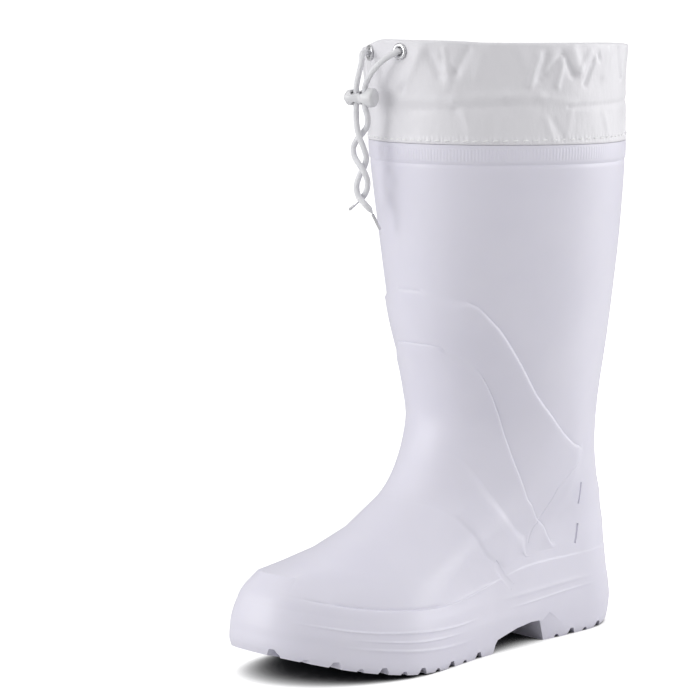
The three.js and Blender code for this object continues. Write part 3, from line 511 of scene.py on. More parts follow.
# Steps at the four edges: width in millimetres, how much wider it gets and over which spans
STEP_WIDTHS = [
    (4.2, 0.0, ((0, 1),)),
    (5.2, 1.6, ((0.6, 0.8),)),
    (1.5, 5.0, ((0.870, 0.935), (0.958, 0.976))),
    (2.1, 7.0, ((0.893, 0.958), (0.978, 0.996))),
]
SOFT_WIDTHS = (1.4, 3.4)
# Least gaps below the four edges in loft places, how firmly they hold, and the share of
# the room between two edges that a step may take
EDGE_GAPS = [0.12, 0.16, 0.14, 0.16]
EDGE_HOLD = 14
ANKLE_ROOM, STRAP_ROOM = 0.45, 0.8
LEAST_SINE = 0.35

# Walls inside, from the ledge up
WALLS = np.array([(LEDGE, 9.5), (LEDGE + 1, 8.0), (LEDGE + 2, 6.5), (LEDGE + 4, 5.5),
                  (LEDGE + 7, 4.0), (TOP, 4.0)])

# Columns round the boot, and rows between neighbouring edges of its reliefs
SHELL_COLUMNS = 336
SHELL_STEP = 2 * math.pi / SHELL_COLUMNS
STEP_ROWS = np.array([0, 0.04, 0.13, 0.28, 0.46, 0.7, 1.0])
# Rows in loft places: at the ground, about each rib, about the ledge, about the collar's
# groove, and from row to row inside
LOW_ROWS = [0, 0.12, 0.3, 0.6, 1.0, 1.4]
RIB_ROWS = np.array([-0.32, -0.22, -0.15, -0.09, -0.04, 0, 0.05, 0.1, 0.16, 0.25])
LEDGE_ROWS = np.array([-0.25, -0.12, -0.05, -0.03, -0.015, 0, 0.02, 0.045, 0.07, 0.1, 0.2])
COLLAR_ROWS = np.array([-0.4, -0.2, -0.12, -0.08, -0.05, -0.03, 0, 0.03, 0.05, 0.08, 0.12,
                        0.3, 0.6, 0.9, 1.0])
INNER_ROW = 0.34


def wall_at(v):
    """Thickness of the wall at a loft place."""
    return curve(WALLS[:, 0], WALLS[:, 1], np.asarray(v, float))


def floor_height(y):
    """Floor inside: the heel's height falling to the sole's, plus most of the toe spring."""
    q = np.clip((SOLE_LENGTH / 2 - y) / SOLE_LENGTH, 0.04, 0.96)
    base = HEEL_FLOOR + (FLOOR_THICKNESS - HEEL_FLOOR) * smooth(q, *FLOOR_SPAN)
    return base + SPRING_SHARE * curve(STATIONS, SECTIONS[0][HEIGHTS], q)


def edge_places(edge, turn):
    """Loft places of a strap's edge at each turn, the same on both sides."""
    t, z = np.array(edge).T
    return place_at(turn, curve(t, z, depth_share(turn)) * SEAM_HEIGHT)


def per_mm(v, turn, edge_v):
    """Loft places per millimetre square to an edge that runs at edge_v over the turns: one
    over the rise per place times the sine between rise and edge."""
    rise = surface(v + NEAR, turn) - surface(v - NEAR, turn)
    run = np.roll(surface(edge_v, turn), -1, 0) - np.roll(surface(edge_v, turn), 1, 0)
    sine = np.linalg.norm(np.cross(unit(run), unit(rise)), axis=-1)
    return 1 / (np.linalg.norm(rise, axis=-1) / (2 * NEAR) * np.clip(sine, LEAST_SINE, 1))


def sole_relief(v, t):
    """Raised ribs as bell curves across v, and the ledge's step, sharp except at the toe."""
    width = LEDGE_SHARP + (LEDGE_SOFT - LEDGE_SHARP) * smooth(t, *TOE_SPAN)
    heel = HEEL_STEP * (BACK_SHARE + (1 - BACK_SHARE) * smooth(t, *HEEL_SPAN))
    height = heel + (LEDGE_STEP - HEEL_STEP) * smooth(t, *FORE_SPAN)
    height = height - WAIST_DROP * spell(t, *WAIST_SPANS)
    edge = LEDGE - 0.03
    out = height * (1 - smooth(v, edge, edge + width))
    out = out - 0.5 * height * (1 - smooth(v, UPPER_START, LEDGE + 1.5))
    lip = BEAD_HEIGHT * spell(t, *BEAD_SPANS) - CREASE_DEPTH * spell(t, *CREASE_SPANS)
    out = out + lip * bell(v, LEDGE + 0.03, LIP_WIDTH)
    for place, start, end, strength in SOLE_RIBS:
        shown = spell(t, [start + q for q in RIB_START], [end + q for q in RIB_END])
        out = out + RIB_HEIGHT * strength * shown * bell(v, place, RIB_WIDTH)
    return out


def collar_relief(v):
    """Groove below the collar, a bell curve, and the collar's own step."""
    step = smooth(v, GROOVE - 0.01, GROOVE + 0.06)
    return COLLAR_STEP * step - GROOVE_DEPTH * bell(v, GROOVE, GROOVE_WIDTH)


def quarter(x):
    """Quarter circle from a crease at 0 to a rounded shoulder at 1."""
    return np.sqrt(np.maximum(1 - (1 - np.clip(x, 0, 1)) ** 2, 0))


def strap_edges(turn):
    """Loft places of the four edges, each held above the one below it by a soft maximum:
    low + gap + ln(1 + e^(k (edge - low - gap))) / k."""
    kept, low = [], UPPER_START
    for table, gap in zip((ANKLE_LOWER, ANKLE_UPPER, SHIN_LOWER, SHIN_UPPER), EDGE_GAPS):
        edge = edge_places(table, turn)
        low = low + gap + np.logaddexp(0, (edge - low - gap) * EDGE_HOLD) / EDGE_HOLD
        kept.append(low)
    return kept


def strap_heights(t):
    """Heights at the four edges: the ankle band's lower and upper one, the panel, the shin."""
    ankle = ANKLE_HEIGHT * spell(t, *ANKLE_SPANS)
    ankle_low = ANKLE_LOW_SHARE * ankle * spell(t, *ANKLE_LOW_SPANS)
    panel = PANEL_HEIGHT * smooth(t, *PANEL_SPAN)
    shin = BAND_HEIGHT * smooth(t, *SHIN_SPAN) * (1 - SHIN_EASE * smooth(t, *SHIN_EASE_SPAN))
    return ankle_low, ankle, panel, shin


def shell_rows(turn):
    """Rows of loft places and reliefs for the outer skin: fixed rows over the sole, then
    rows that follow the four edges of the panels. Like shingles, the panels rise towards
    their upper edge and end there in a step that faces up."""
    t = depth_share(turn)
    full, zero = np.ones_like(turn), np.zeros_like(turn)
    places = list(LOW_ROWS)
    for k in range(2, REAR + 1):
        places += [*(k + RIB_ROWS), k + 0.5]
    places += list(LEDGE + LEDGE_ROWS)
    rows = [(v * full, sole_relief(v, t)) for v in places]

    edges = strap_edges(turn)
    ankle_low, ankle, panel, shin = strap_heights(t)
    widths = [base + more * spell(t, *spans) for base, more, spans in STEP_WIDTHS]
    steps = np.diff(edges, axis=0)
    room = [ANKLE_ROOM * steps[0]] * 2 + [STRAP_ROOM * steps[1], STRAP_ROOM * steps[2]]
    near = [np.minimum(w * per_mm(e, turn, e), most) for w, e, most in zip(widths, edges, room)]

    def between(v0, r0, v1, r1, count, bow=1.0):
        """Rows from one edge to the next, the relief easing from one height to the other."""
        for s in np.linspace(0, 1, count + 2)[1:-1]:
            v = v0 + (v1 - v0) * s
            rows.append((v, r0 + (r1 - r0) * (1 - (1 - s) ** bow) + sole_relief(v, t)))

    def step(k, height, way=-1):
        """Step at edge k, a quarter circle where it is narrow and a soft ramp where wide."""
        soft = smooth(widths[k], *SOFT_WIDTHS)
        for x in STEP_ROWS[::way]:
            v = edges[k] + way * x * near[k]
            share = quarter(x) * (1 - soft) + smooth(x, 0, 1) * soft
            rows.append((v, height * share + sole_relief(v, t)))

    last = full * (GROOVE - 0.6)
    between(full * UPPER_START, zero, edges[0], zero, 4)
    step(0, ankle_low, way=1)
    between(edges[0] + near[0], ankle_low, edges[1] - near[1], ankle, 4)
    step(1, ankle)
    between(edges[1], zero, edges[2] - near[2], panel, 9)
    step(2, panel)
    between(edges[2], zero, edges[3] - near[3], shin, 18, PANEL_BOW)
    step(3, shin)
    between(edges[3], zero, last, zero, 24)
    rows.append((last, zero))
    return rows + [(v * full, collar_relief(v) * full) for v in GROOVE + COLLAR_ROWS]


def shell_skin():
    """Closed skin: outer rows up, over the hem onto the flange, down inside, across the
    floor; the ground is capped from side to side."""
    turn = np.arange(SHELL_COLUMNS) * SHELL_STEP
    rings = []
    for v, relief in zip(*skin_rows()):
        ring = lifted(v, turn, relief)
        low = v < 1
        ring[low, 2] = np.maximum(surface(v, turn)[low, 2], 0)
        rings.append(ring)
    rise = SECTIONS[HEM + 1][HEIGHTS] - SECTIONS[HEM][HEIGHTS]
    top, flange = HEM + FLANGE_HEIGHT / rise[0], FABRIC_WALL + CLEARANCE
    inside = [(HEM + 0.01, flange), (top - 0.03, flange), (top, flange + 0.6), (top, 3.4),
              (top - 0.03, 4.0)]
    down = np.maximum(np.arange(HEM, LEDGE - 0.01, -INNER_ROW), LEDGE)
    inside += [(v, wall_at(v)) for v in down]
    rings += [lifted(v, turn, np.full_like(turn, -depth)) for v, depth in inside]
    for inset, height in ((WALL_SOLE, FLOOR_FILLET), (WALL_SOLE + FLOOR_FILLET, 0)):
        ring = lifted(REAR, turn, np.full_like(turn, -inset))
        ring[:, 2] = floor_height(ring[:, 1]) + height
        rings.append(ring)
    rows, n = len(rings), SHELL_COLUMNS
    faces = grid_faces(rows, n) + cap_faces(0, n, False) + cap_faces((rows - 1) * n, n, True)
    return outward(make_object("shell_skin", np.array(rings), faces))


def prism(name, outline, ends, place):
    """Closed prism of an outline between two ends; place(a, b, end) gives its points."""
    points = [place(a, b, end) for end in ends for a, b in outline]
    n = len(outline)
    faces = [list(range(n))[::-1], [n + k for k in range(n)]]
    faces += [[k, (k + 1) % n, n + (k + 1) % n, n + k] for k in range(n)]
    return outward(make_object(name, np.array(points), faces))


# Tread: grooves across the sole
NOTCH = (7.5, 4.2)
SMALL_NOTCH = (5.0, 2.2)
# First notch of the heel's and the forefoot's row, pitch and count; a small one follows each
NOTCH_ROWS = [(153.5, 29, 5), (33, 28, 2)]
TOE_NOTCH = (8, 4)
TOE_NOTCH_X = 8.5
TOE_NOTCH_SHARE = 0.985
# Waist hollow: shares of the sole's length and of its side's height
WAIST = [(0.470, -0.1), (0.462, 0.02), (0.457, 0.14), (0.450, 0.205), (0.427, 0.249),
         (0.387, 0.319), (0.343, 0.358), (0.318, 0.352), (0.308, 0.330), (0.291, 0.02),
         (0.290, -0.1)]
# Facet that bevels the heel's front corners: its distance from the middle plane on the
# outer and inner side, then how it falls forwards and grows upwards, and its outline
FACET_SIDE = (50.2, 47.1)
FACET_FORWARD = -0.086
FACET_UP = 0.164
FACET_REACH = 60       # how far out the cutter reaches
FACET_OUTLINE = [(56, -1), (96, -1), (96, 12), (84.6, 19)]


def ground_height(forward):
    """Height of the sole's underside that far from the heel: the toe spring."""
    return float(curve(STATIONS, SECTIONS[0][HEIGHTS], np.clip(forward / SOLE_LENGTH, 0, 1)))


def notch_outline(forward, width, depth):
    """Trapezoid that narrows upwards from the ground at that place."""
    z = ground_height(forward)
    half, crown = width / 2, width / 5
    return [(forward - half, z - 3), (forward - half, z), (forward - crown, z + depth),
            (forward + crown, z + depth), (forward + half, z), (forward + half, z - 3)]


def tread_cutters():
    """Closed bodies to cut from the sole: notches across, one at the toe, the hollow under
    the waist and the facets of the heel's front corners."""
    across = lambda a, b, end: (end, SOLE_LENGTH / 2 - a, b)
    wide = (-BALL_WIDTH, BALL_WIDTH)
    cutters = []
    for first, pitch, count in NOTCH_ROWS:
        for k in range(count):
            for part, size in ((k, NOTCH), (k + 0.5, SMALL_NOTCH)):
                outline = notch_outline(first + part * pitch, *size)
                cutters.append(prism(f"cutter_{k}", outline, wide, across))
    lift = ground_height(TOE_NOTCH_SHARE * SOLE_LENGTH) + 1
    outline = [(a, b + lift) for a, b in notch_outline(0, *TOE_NOTCH)]
    front = -SOLE_LENGTH / 2
    cutters.append(prism("cutter_toe", outline, (front - 5, front + 14),
                         lambda a, b, end: (TOE_NOTCH_X + a, end, b)))
    outline = [(f * SOLE_LENGTH, z * SOLE_SIDE) for f, z in WAIST]
    cutters.append(prism("cutter_waist", outline, wide, across))
    for side, middle in zip((1, -1), FACET_SIDE):
        points = [(side * FACET_REACH, SOLE_LENGTH / 2 - f, z) for f, z in FACET_OUTLINE]
        points += [(side * (middle + FACET_FORWARD * f + FACET_UP * z), SOLE_LENGTH / 2 - f, z)
                   for f, z in FACET_OUTLINE]
        faces = [[0, 1, 2], [0, 2, 3], [4, 6, 5], [4, 7, 6]]
        for j in range(4):
            k = (j + 1) % 4
            faces += [[j, 4 + k, k], [j, 4 + j, 4 + k]]
        cutters.append(outward(make_object(f"cutter_bevel_{side}", np.array(points), faces)))
    return cutters


@lru_cache(maxsize=None)
def skin_rows():
    """Loft places and relief of all rows of the outer skin: a row for each, a column for each
    turn of the skin's grid."""
    rows = shell_rows(np.arange(SHELL_COLUMNS) * SHELL_STEP)
    return tuple(np.stack(part) for part in zip(*rows))


def skin_relief(turn, v):
    """Relief of the outer skin at some turns and loft places, read off the skin's own rows
    in the two columns next to each turn."""
    places, relief = skin_rows()
    first = np.floor(turn / SHELL_STEP).astype(int)
    share = turn / SHELL_STEP - first
    read = lambda column: np.array([np.interp(q, places[:, c], relief[:, c])
                                    for q, c in zip(v, column % SHELL_COLUMNS)])
    return read(first) * (1 - share) + read(first + 1) * share


def line_cutter(name, table, side, width, depth, steps, ends):
    """Closed bar along a line on the skin: wide above it, rounded to a narrow bottom. Over a
    share of its length at both ends it rises out of the skin."""
    t, z = np.array(table).T
    k = np.arange(len(t), dtype=float)
    i = np.linspace(0, len(t) - 1, steps + 1)
    t, z = curve(k, t, i), curve(k, z, i)
    turn = turn_at(t, side)
    v = place_at(turn, z * SEAM_HEIGHT)
    here, out = lifted(v, turn, skin_relief(turn, v)), normal(v, turn)
    ahead = unit(np.gradient(surface(v, turn), axis=0))
    over = unit(np.cross(ahead, out))
    s = np.linspace(0, 1, len(i))
    deep = spell(s, (-1e-3, ends), (1 - ends, 1 + 1e-3)) if ends else 1 + 0 * s
    deep = (depth * deep)[:, None]
    points = np.stack([here + over * (a * width) + out * (b if b > 0 else b * deep)
                       for a, b in LINE_PROFILE], 1)
    n, rows = len(LINE_PROFILE), len(i)
    faces = grid_faces(rows, n)
    faces += [list(range(n))[::-1], [(rows - 1) * n + j for j in range(n)]]
    return outward(make_object(name, points, faces))


def moulded_shell():
    """Skin less the tread's cutters and the fine lines of both sides."""
    shell = shell_skin()
    cutters = tread_cutters()
    for side in (1, -1):
        for k, line in enumerate(LINES):
            cutters.append(line_cutter(f"cutter_line_{k}_{side}", line[0], side, *line[1:]))
    cut(shell, cutters)
    shell.name = "moulded_shell_skin"
    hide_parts("moulded_shell")
    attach(shell, "boot")
    return shell


# Cuff: nylon tube with a channel at its top edge

CHANNEL_WALL = 3.6
# Where the cord leaves: turn in degrees, rise of the rim there, and its width in degrees
EXIT_TURN = 185.4
EXIT_RISE = 6
EXIT_WIDTH = 17.2
# The rim's rise on the outer side of the exit: degrees round the boot, millimetres
RIM_RISE = np.array([(-90, 0), (15, 0), (40, 1.0), (60, 2.4), (80, 3.5), (110, 4.2), (128, 4.4),
                     (137, 4.6), (141, 5.0), (146, 5.4), (155, 5.7), (168, 5.8), (178, 6.0),
                     (185.4, 6.0), (186, 6.0)])
# Columns round the cuff, its radius, and how near an eyelet the folds die away
CUFF_COLUMNS = 720
CUFF_RADIUS = 85
EYELET_CALM = 7.0

# Folds: turn round the boot and height in degrees and millimetres at both ends,
# half width in millimetres, height out of (or into) the cloth
FOLDS = [
    (165, 385, 174, 368, 3.8, 1.3), (169, 380, 176, 362, 2.6, -0.7),
    (160, 386, 155.5, 372, 3.0, -1.0), (142.5, 388, 148, 374, 3.0, -1.1),
    (148, 374, 151, 362, 2.6, -0.7), (153, 388, 152, 376, 2.2, 0.9),
    (150.5, 374, 150.5, 364, 4.2, 1.0), (153.5, 383, 148.5, 375, 2.6, -0.7),
    (136, 387, 139, 372, 3.4, 0.7), (121, 387, 118, 376, 4.0, 0.6),
    (113, 384, 117, 366, 2.2, 1.3), (109.5, 385, 112.5, 370, 2.6, -1.3),
    (103.5, 383, 110, 372, 2.2, -1.2), (102, 381, 105, 365, 2.0, 1.3),
    (102, 385, 97.5, 372, 2.0, -1.5), (97, 388, 94, 374, 3.4, 1.0),
    (86, 380, 91, 366, 1.8, -1.4), (83, 384, 82.5, 381, 1.6, -1.0),
    (88, 386, 94, 373, 2.0, 0.9), (76, 386, 79, 371, 3.4, 0.9),
    (178, 356, 150, 357, 3.4, 0.55), (150, 357, 128, 359.5, 3.4, 0.7),
    (128, 359.5, 113, 359, 3.2, 0.7), (113, 359, 98, 354, 3.0, 0.6),
    (172, 350.5, 150, 351, 2.6, -0.4), (150, 351, 128, 353.5, 2.6, -0.5),
    (128, 353.5, 113, 353, 2.6, -0.5),
    (107, 343, 103, 332, 2.4, -0.5),
    (111, 345, 108, 332, 2.2, 0.45), (99, 349, 101, 333, 2.2, 0.4),
    (128, 346, 131, 333, 3.0, 0.5), (146, 349, 143, 333, 2.8, 0.6),
    (66, 387, 62, 368, 2.4, -1.2), (58, 388, 60, 370, 3.0, 1.0),
    (44, 386, 47, 369, 2.4, -1.1), (31, 387, 28, 366, 2.6, 1.1),
    (24, 386, 26, 370, 2.2, -1.1), (9, 387, 12, 369, 2.6, 1.0),
    (-4, 386, -7, 368, 2.4, -1.2), (-18, 387, -15, 370, 2.8, 1.1),
    (-33, 386, -36, 367, 2.4, -1.2), (-47, 388, -44, 370, 3.0, 1.0),
    (-60, 386, -63, 369, 2.4, -1.2), (-78, 387, -75, 368, 2.8, 1.1),
    (-92, 386, -94, 367, 2.4, -1.2), (-108, 387, -104, 370, 2.8, 1.1),
    (-121, 386, -124, 368, 2.4, -1.2), (-138, 387, -135, 366, 2.8, 1.1),
    (-150, 386, -153, 366, 2.4, -1.4), (-163, 385, -161, 368, 2.6, 1.1),
    (100, 351.5, 40, 353, 1.7, -0.7), (40, 353, -30, 352, 1.7, -0.7),
    (-30, 352, -100, 353, 1.7, -0.7), (-100, 353, -160, 354, 1.7, -0.7),
    (80, 347, 76, 333, 2.6, 0.6), (52, 347, 55, 333, 2.4, -0.6), (20, 347, 17, 333, 2.6, 0.6),
    (-12, 347, -9, 333, 2.4, -0.6), (-40, 347, -44, 333, 2.6, 0.6),
    (-72, 347, -69, 333, 2.4, -0.6), (-100, 347, -104, 333, 2.6, 0.6),
    (-130, 347, -127, 333, 2.4, -0.6),
]
# Cloth per degree; place and width of the seam's pucker; heights where slow waves set in
MM_PER_DEGREE = 1.46
PUCKER_HEIGHT = 331.6
PUCKER_WIDTH = 1.9
WAVE_SPAN = (336, 350)
# Waves of the pucker and of the cloth above it: height in millimetres, radians per degree
PUCKER_WAVES = (0.2, 3.1), (0.12, 7.3)
PUCKER_DRIFT = (1.6, 0.37)
SLOW_WAVE = (0.35, 0.21)
SLOW_START = 0.6
SLOW_RISE = 0.11       # radians per millimetre of height


def fold_height(turn, z):
    """Sum of soft ridges and troughs: each a bell curve of the distance to a straight line
    on the cloth, fading at its two ends, plus a fine pucker along the hem's seam and slow
    waves above it."""
    a = np.degrees((turn + math.pi * 0.5) % (2 * math.pi) - math.pi * 0.5)
    total = np.zeros(np.broadcast(a, z).shape)
    for a0, z0, a1, z1, width, height in FOLDS:
        ring = lambda q: (q - a0 + 180) % 360 - 180
        x, y = ring(a) * MM_PER_DEGREE, z - z0
        dx, dy = ring(np.float64(a1)) * MM_PER_DEGREE, z1 - z0
        s = np.clip((x * dx + y * dy) / (dx * dx + dy * dy), 0, 1)
        far = (x - s * dx) ** 2 + (y - s * dy) ** 2
        total += height * np.exp(-far / width**2)
    (long, slow), (short, fast) = PUCKER_WAVES
    drift = PUCKER_DRIFT[0] * np.sin(a * PUCKER_DRIFT[1])
    pucker = long * np.sin(a * slow + drift) + short * np.sin(a * fast)
    total += pucker * bell(z, PUCKER_HEIGHT, PUCKER_WIDTH)
    wave = SLOW_WAVE[0] * np.sin(a * SLOW_WAVE[1] + SLOW_START)
    total += wave * smooth(z, *WAVE_SPAN) * np.sin(z * SLOW_RISE)
    return total


def cuff_point(v, turn, out):
    """Point of the cuff, its rim raised where the cord leaves and on the outer side of it."""
    p = lifted(v, turn, out)
    a = np.degrees(np.asarray(turn, float)) % 360
    beyond = EXIT_RISE * bell(a, EXIT_TURN, EXIT_WIDTH)
    rise = np.where(a > EXIT_TURN, beyond, curve(RIM_RISE[:, 0], RIM_RISE[:, 1], a))
    p[..., 2] += rise * smooth(v, TOP - 0.9, TOP)
    return p


# The two eyelets: turn round the boot and height of their centres
EYELETS = {
    "lateral": (math.pi * 0.974, SEAM_HEIGHT + CUFF_HEIGHT - 1.4),
    "medial": (math.pi * 1.105, SEAM_HEIGHT + CUFF_HEIGHT - 3),
}
EYELET_RADIUS = 5.2
EYELET_BORE = 2.6
EYELET_BARREL = 3.5
EYELET_HEIGHT = 1.3
EYELET_EDGE = 0.25
EYELET_SIDES = 64


def eyelet_place(side):
    """Centre of an eyelet on the cuff and its level outward direction."""
    turn, z = EYELETS[side]
    v = np.linspace(TOP, TOP - 1, 2001)
    points = cuff_point(v, np.full_like(v, turn), np.zeros_like(v))
    k = int(np.argmax(points[:, 2] <= z))
    out = normal(v[k:k + 1], np.array([turn]))[0] * [1, 1, 0]
    return points[k], unit(out)


def cuff_rows():
    """Rows (place, offset, how much the folds move it) up outside and down inside."""
    outer = [(HEM + 0.015, 0.15, 0), (HEM + 0.04, 0.5, 0.3), (HEM + 0.08, 0.62, 0.7)]
    outer += [(v, 0.5 * (1 - smooth(v, HEM + 0.1, HEM + 0.3)), 1)
              for v in np.linspace(HEM + 0.12, TOP - 0.3, 46)]
    rim = []
    for a in np.linspace(0, math.pi, 13):
        rim.append((TOP - 0.07 + 0.07 * math.sin(a), -1.8 + 1.8 * math.cos(a),
                    0.6 * (1 - smooth(a, 0.3, 1.6))))
    outer += [(TOP - 0.22, 0, 1), (TOP - 0.15, 0, 0.9), (TOP - 0.1, 0, 0.75)]
    channel = TOP - 0.6
    inner = [(v, -CHANNEL_WALL, 0.4) for v in np.linspace(TOP - 0.15, channel, 7)]
    inner += [(channel - 0.05, -3.0, 0.6), (channel - 0.1, -2.0, 0.8)]
    inner += [(v, -FABRIC_WALL, 1 - smooth(v, HEM + 1.1, HEM + 0.8))
              for v in np.linspace(channel - 0.13, HEM + 0.05, 24)]
    return outer + rim + inner


def cuff():
    """Cloth tube: the loft's upper end moved in and out by its folds, open at both ends."""
    turn = np.linspace(0, 2 * math.pi, CUFF_COLUMNS, endpoint=False)
    rings = []
    for v, out, folds in cuff_rows():
        v = np.full_like(turn, v)
        z = cuff_point(v, turn, 0 * turn)[:, 2]
        keep = 1.0
        for place_turn, height in EYELETS.values():
            far = ((turn - place_turn) * CUFF_RADIUS) ** 2 + (z - height) ** 2
            keep = keep * (1 - np.exp(-far / EYELET_CALM**2))
        rings.append(cuff_point(v, turn, out + folds * keep * fold_height(turn, z)))
    piece = outward(make_object("cuff_cloth", np.array(rings),
                                grid_faces(len(rings), CUFF_COLUMNS, loop=True)))
    radius = EYELET_BARREL + CLEARANCE
    punch = [(-2.6, 0), (-2.6, radius), (4, radius), (4, 0)]
    holes = []
    for side in EYELETS:
        centre, out = eyelet_place(side)
        holes.append(lathe("cutter_hole", punch, axes_along(out), centre, 32))
    cut(piece, holes, angle=60)
    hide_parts("cuff")
    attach(piece, "boot")
    return piece


# Stitches: count, height on the boot, lift off the cloth, slant, half sizes, faces of each
STITCHES = 84
STITCH_HEIGHT = 331.4
STITCH_LIFT = 0.62
STITCH_SLANT = 0.1
STITCH_SIZE = np.array([0.4, 0.48, 1.9])
BALL_ROWS = 6
BALL_SIDES = 8


def hem_stitches():
    """Rounded stitches in a row above the hem, each a stretched ball of few faces."""
    a = np.linspace(0, 2 * math.pi, STITCHES, endpoint=False)
    lat = np.linspace(-math.pi / 2, math.pi / 2, BALL_ROWS)[:, None]
    lon = np.linspace(0, 2 * math.pi, BALL_SIDES, endpoint=False)
    ball = np.stack([np.cos(lat) * np.cos(lon), np.cos(lat) * np.sin(lon),
                     np.repeat(np.sin(lat), BALL_SIDES, 1)], -1)
    height = np.full_like(a, STITCH_HEIGHT)
    v = place_at(a, height)
    centre = lifted(v, a, STITCH_LIFT + fold_height(a, height))
    out = normal(v, a)
    along = unit(np.roll(centre, -1, 0) - np.roll(centre, 1, 0))
    up = np.cross(out, along)
    along = unit(along + STITCH_SLANT * up)
    axes = np.stack([out, up, along], 1)[:, None, None]
    local = ball * STITCH_SIZE
    points = centre[:, None, None] + (local[None, ..., None] * axes).sum(-2)
    one = np.array(grid_faces(BALL_ROWS, BALL_SIDES))
    first = np.arange(STITCHES)[:, None, None] * BALL_ROWS * BALL_SIDES
    piece = make_object("hem_stitches", points, (one[None] + first).reshape(-1, 4).tolist())
    work = bmesh.new()
    work.from_mesh(piece.data)
    bmesh.ops.remove_doubles(work, verts=work.verts, dist=1e-6)
    bmesh.ops.recalc_face_normals(work, faces=work.faces)
    work.to_mesh(piece.data)
    work.free()
    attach(piece, "boot")
    return piece


# Drawcord and cord lock

# Cord, its braid (strands one way, turn in radians per millimetre, depth) and its tips
CORD_RADIUS = 1.95
CORD_ROWS = 420
CORD_SIDES = 40
STRANDS = 6
BRAID_LAY = 1.25
BRAID_DEPTH = 0.16
TIP_RADIUS = 0.35
AGLET_RADIUS = 1.0
AGLET_BORE = 0.75
AGLET_LENGTH = 12
AGLET_SEAT = 2.4
TIP_TAPER = 5
# Cord routes from the eyelet to the tip: across, forward from the heel, up
ROUTES = {
    "lateral": [
        (4.9, 190.3, 384.7), (-0.1, 193.3, 381.3), (-6.1, 195.5, 375.2), (-10.6, 196.2, 369.6),
        (-13.6, 196.0, 364.2), (-13.8, 196.0, 357.5), (-13.8, 196.0, 351.6),
        (-12.4, 195.2, 346.2), (-13.5, 194.0, 340.2), (-18.4, 193.6, 334.8),
        (-22.6, 194.4, 330.6), (-24.0, 196.0, 326.0), (-21.6, 197.6, 320.5),
        (-16.2, 198.6, 315.6), (-12.2, 198.0, 311.0), (-11.2, 196.0, 304.7),
        (-14.6, 194.0, 298.2), (-19.6, 192.8, 293.8), (-23.8, 192.6, 290.9),
    ],
    "medial": [
        (-22.0, 190.2, 384.6), (-19.0, 193.6, 380.8), (-17.8, 196.4, 375.3),
        (-18.4, 197.8, 369.1), (-19.4, 198.0, 363.6), (-19.4, 198.0, 357.5),
        (-19.4, 198.0, 352.0), (-18.8, 198.4, 341.5), (-16.2, 198.6, 333.1),
        (-13.4, 197.4, 326.0), (-13.2, 195.2, 319.4), (-17.0, 193.6, 313.4),
        (-20.8, 194.0, 307.8), (-21.2, 196.0, 301.0), (-17.2, 198.0, 295.0),
        (-11.8, 197.6, 290.6), (-9.8, 194.6, 286.5), (-9.7, 191.6, 282.0),
    ],
}
# Cord lock: middle, turn about the upright, cord holes, bore and button
LOCK_CENTRE = np.array([-16.6, SOLE_LENGTH / 2 - 197.0, 357.5])
LOCK_TURN = math.radians(19.5)
HOLE_SHIFT = 2.95
HOLE_RADIUS = 2.4
LOCK_BORE = 3.75
BUTTON_RADIUS = 3.4
BUTTON_TRAVEL = 2.0
SLOT_HALF = 2.3
BORE_END = 9.3
# Rounded scoops where the cords enter and leave the lock: rise and reach from its middle
SCOOP_RADIUS = 3.1
SCOOPS = [(4.3, 3.0), (-5.6, 3.0)]
# Outlines of barrel and button: place along the lock, radius
BARREL = [(-9.2, 3.95), (-8.75, 4.55), (-8.0, 4.85), (-6.4, 5.05), (-4.2, 4.95), (-2.6, 4.75),
          (-1.4, 4.5), (-0.2, 4.4), (1.0, 4.75), (2.6, 5.65), (4.2, 6.1), (8.4, 6.1),
          (9.9, 5.55), (10.5, 4.3)]
BUTTON_DOME = [(-11.2, 0), (-11.18, 0.8), (-11.05, 1.6), (-10.75, 2.3), (-10.3, 2.9),
               (-9.8, 3.25)]


def spline(points, count):
    """Centripetal curve through the points, at evenly spaced places."""
    p = np.vstack([2 * points[0] - points[1], points, 2 * points[-1] - points[-2]])
    knots = np.concatenate([[0], np.cumsum(np.linalg.norm(np.diff(p, axis=0), axis=1) ** 0.5)])
    u = np.linspace(knots[1], knots[-2], 2000)
    i = np.clip(np.searchsorted(knots, u, side="right") - 1, 1, len(p) - 3)
    k = [knots[i - 1 + m][:, None] for m in range(4)]
    q = [p[i - 1 + m] for m in range(4)]
    u = u[:, None]
    mix = lambda a, b, ka, kb: ((kb - u) * a + (u - ka) * b) / (kb - ka)
    a1, a2, a3 = (mix(q[m], q[m + 1], k[m], k[m + 1]) for m in range(3))
    b1, b2 = mix(a1, a2, k[0], k[2]), mix(a2, a3, k[1], k[3])
    fine = mix(b1, b2, k[1], k[2])
    run = np.concatenate([[0], np.cumsum(np.linalg.norm(np.diff(fine, axis=0), axis=1))])
    even = np.linspace(0, run[-1], count)
    return np.stack([np.interp(even, run, fine[:, m]) for m in range(3)], -1), run[-1]


def carried_frames(path):
    """Two directions square to the path that turn as little as they can along it."""
    along = unit(np.gradient(path, axis=0))
    side = np.zeros_like(path)
    side[0] = axes_along(along[0])[1]
    for k in range(1, len(path)):
        side[k] = unit(side[k - 1] - along[k] * (side[k - 1] @ along[k]))
    return along, side, np.cross(along, side)


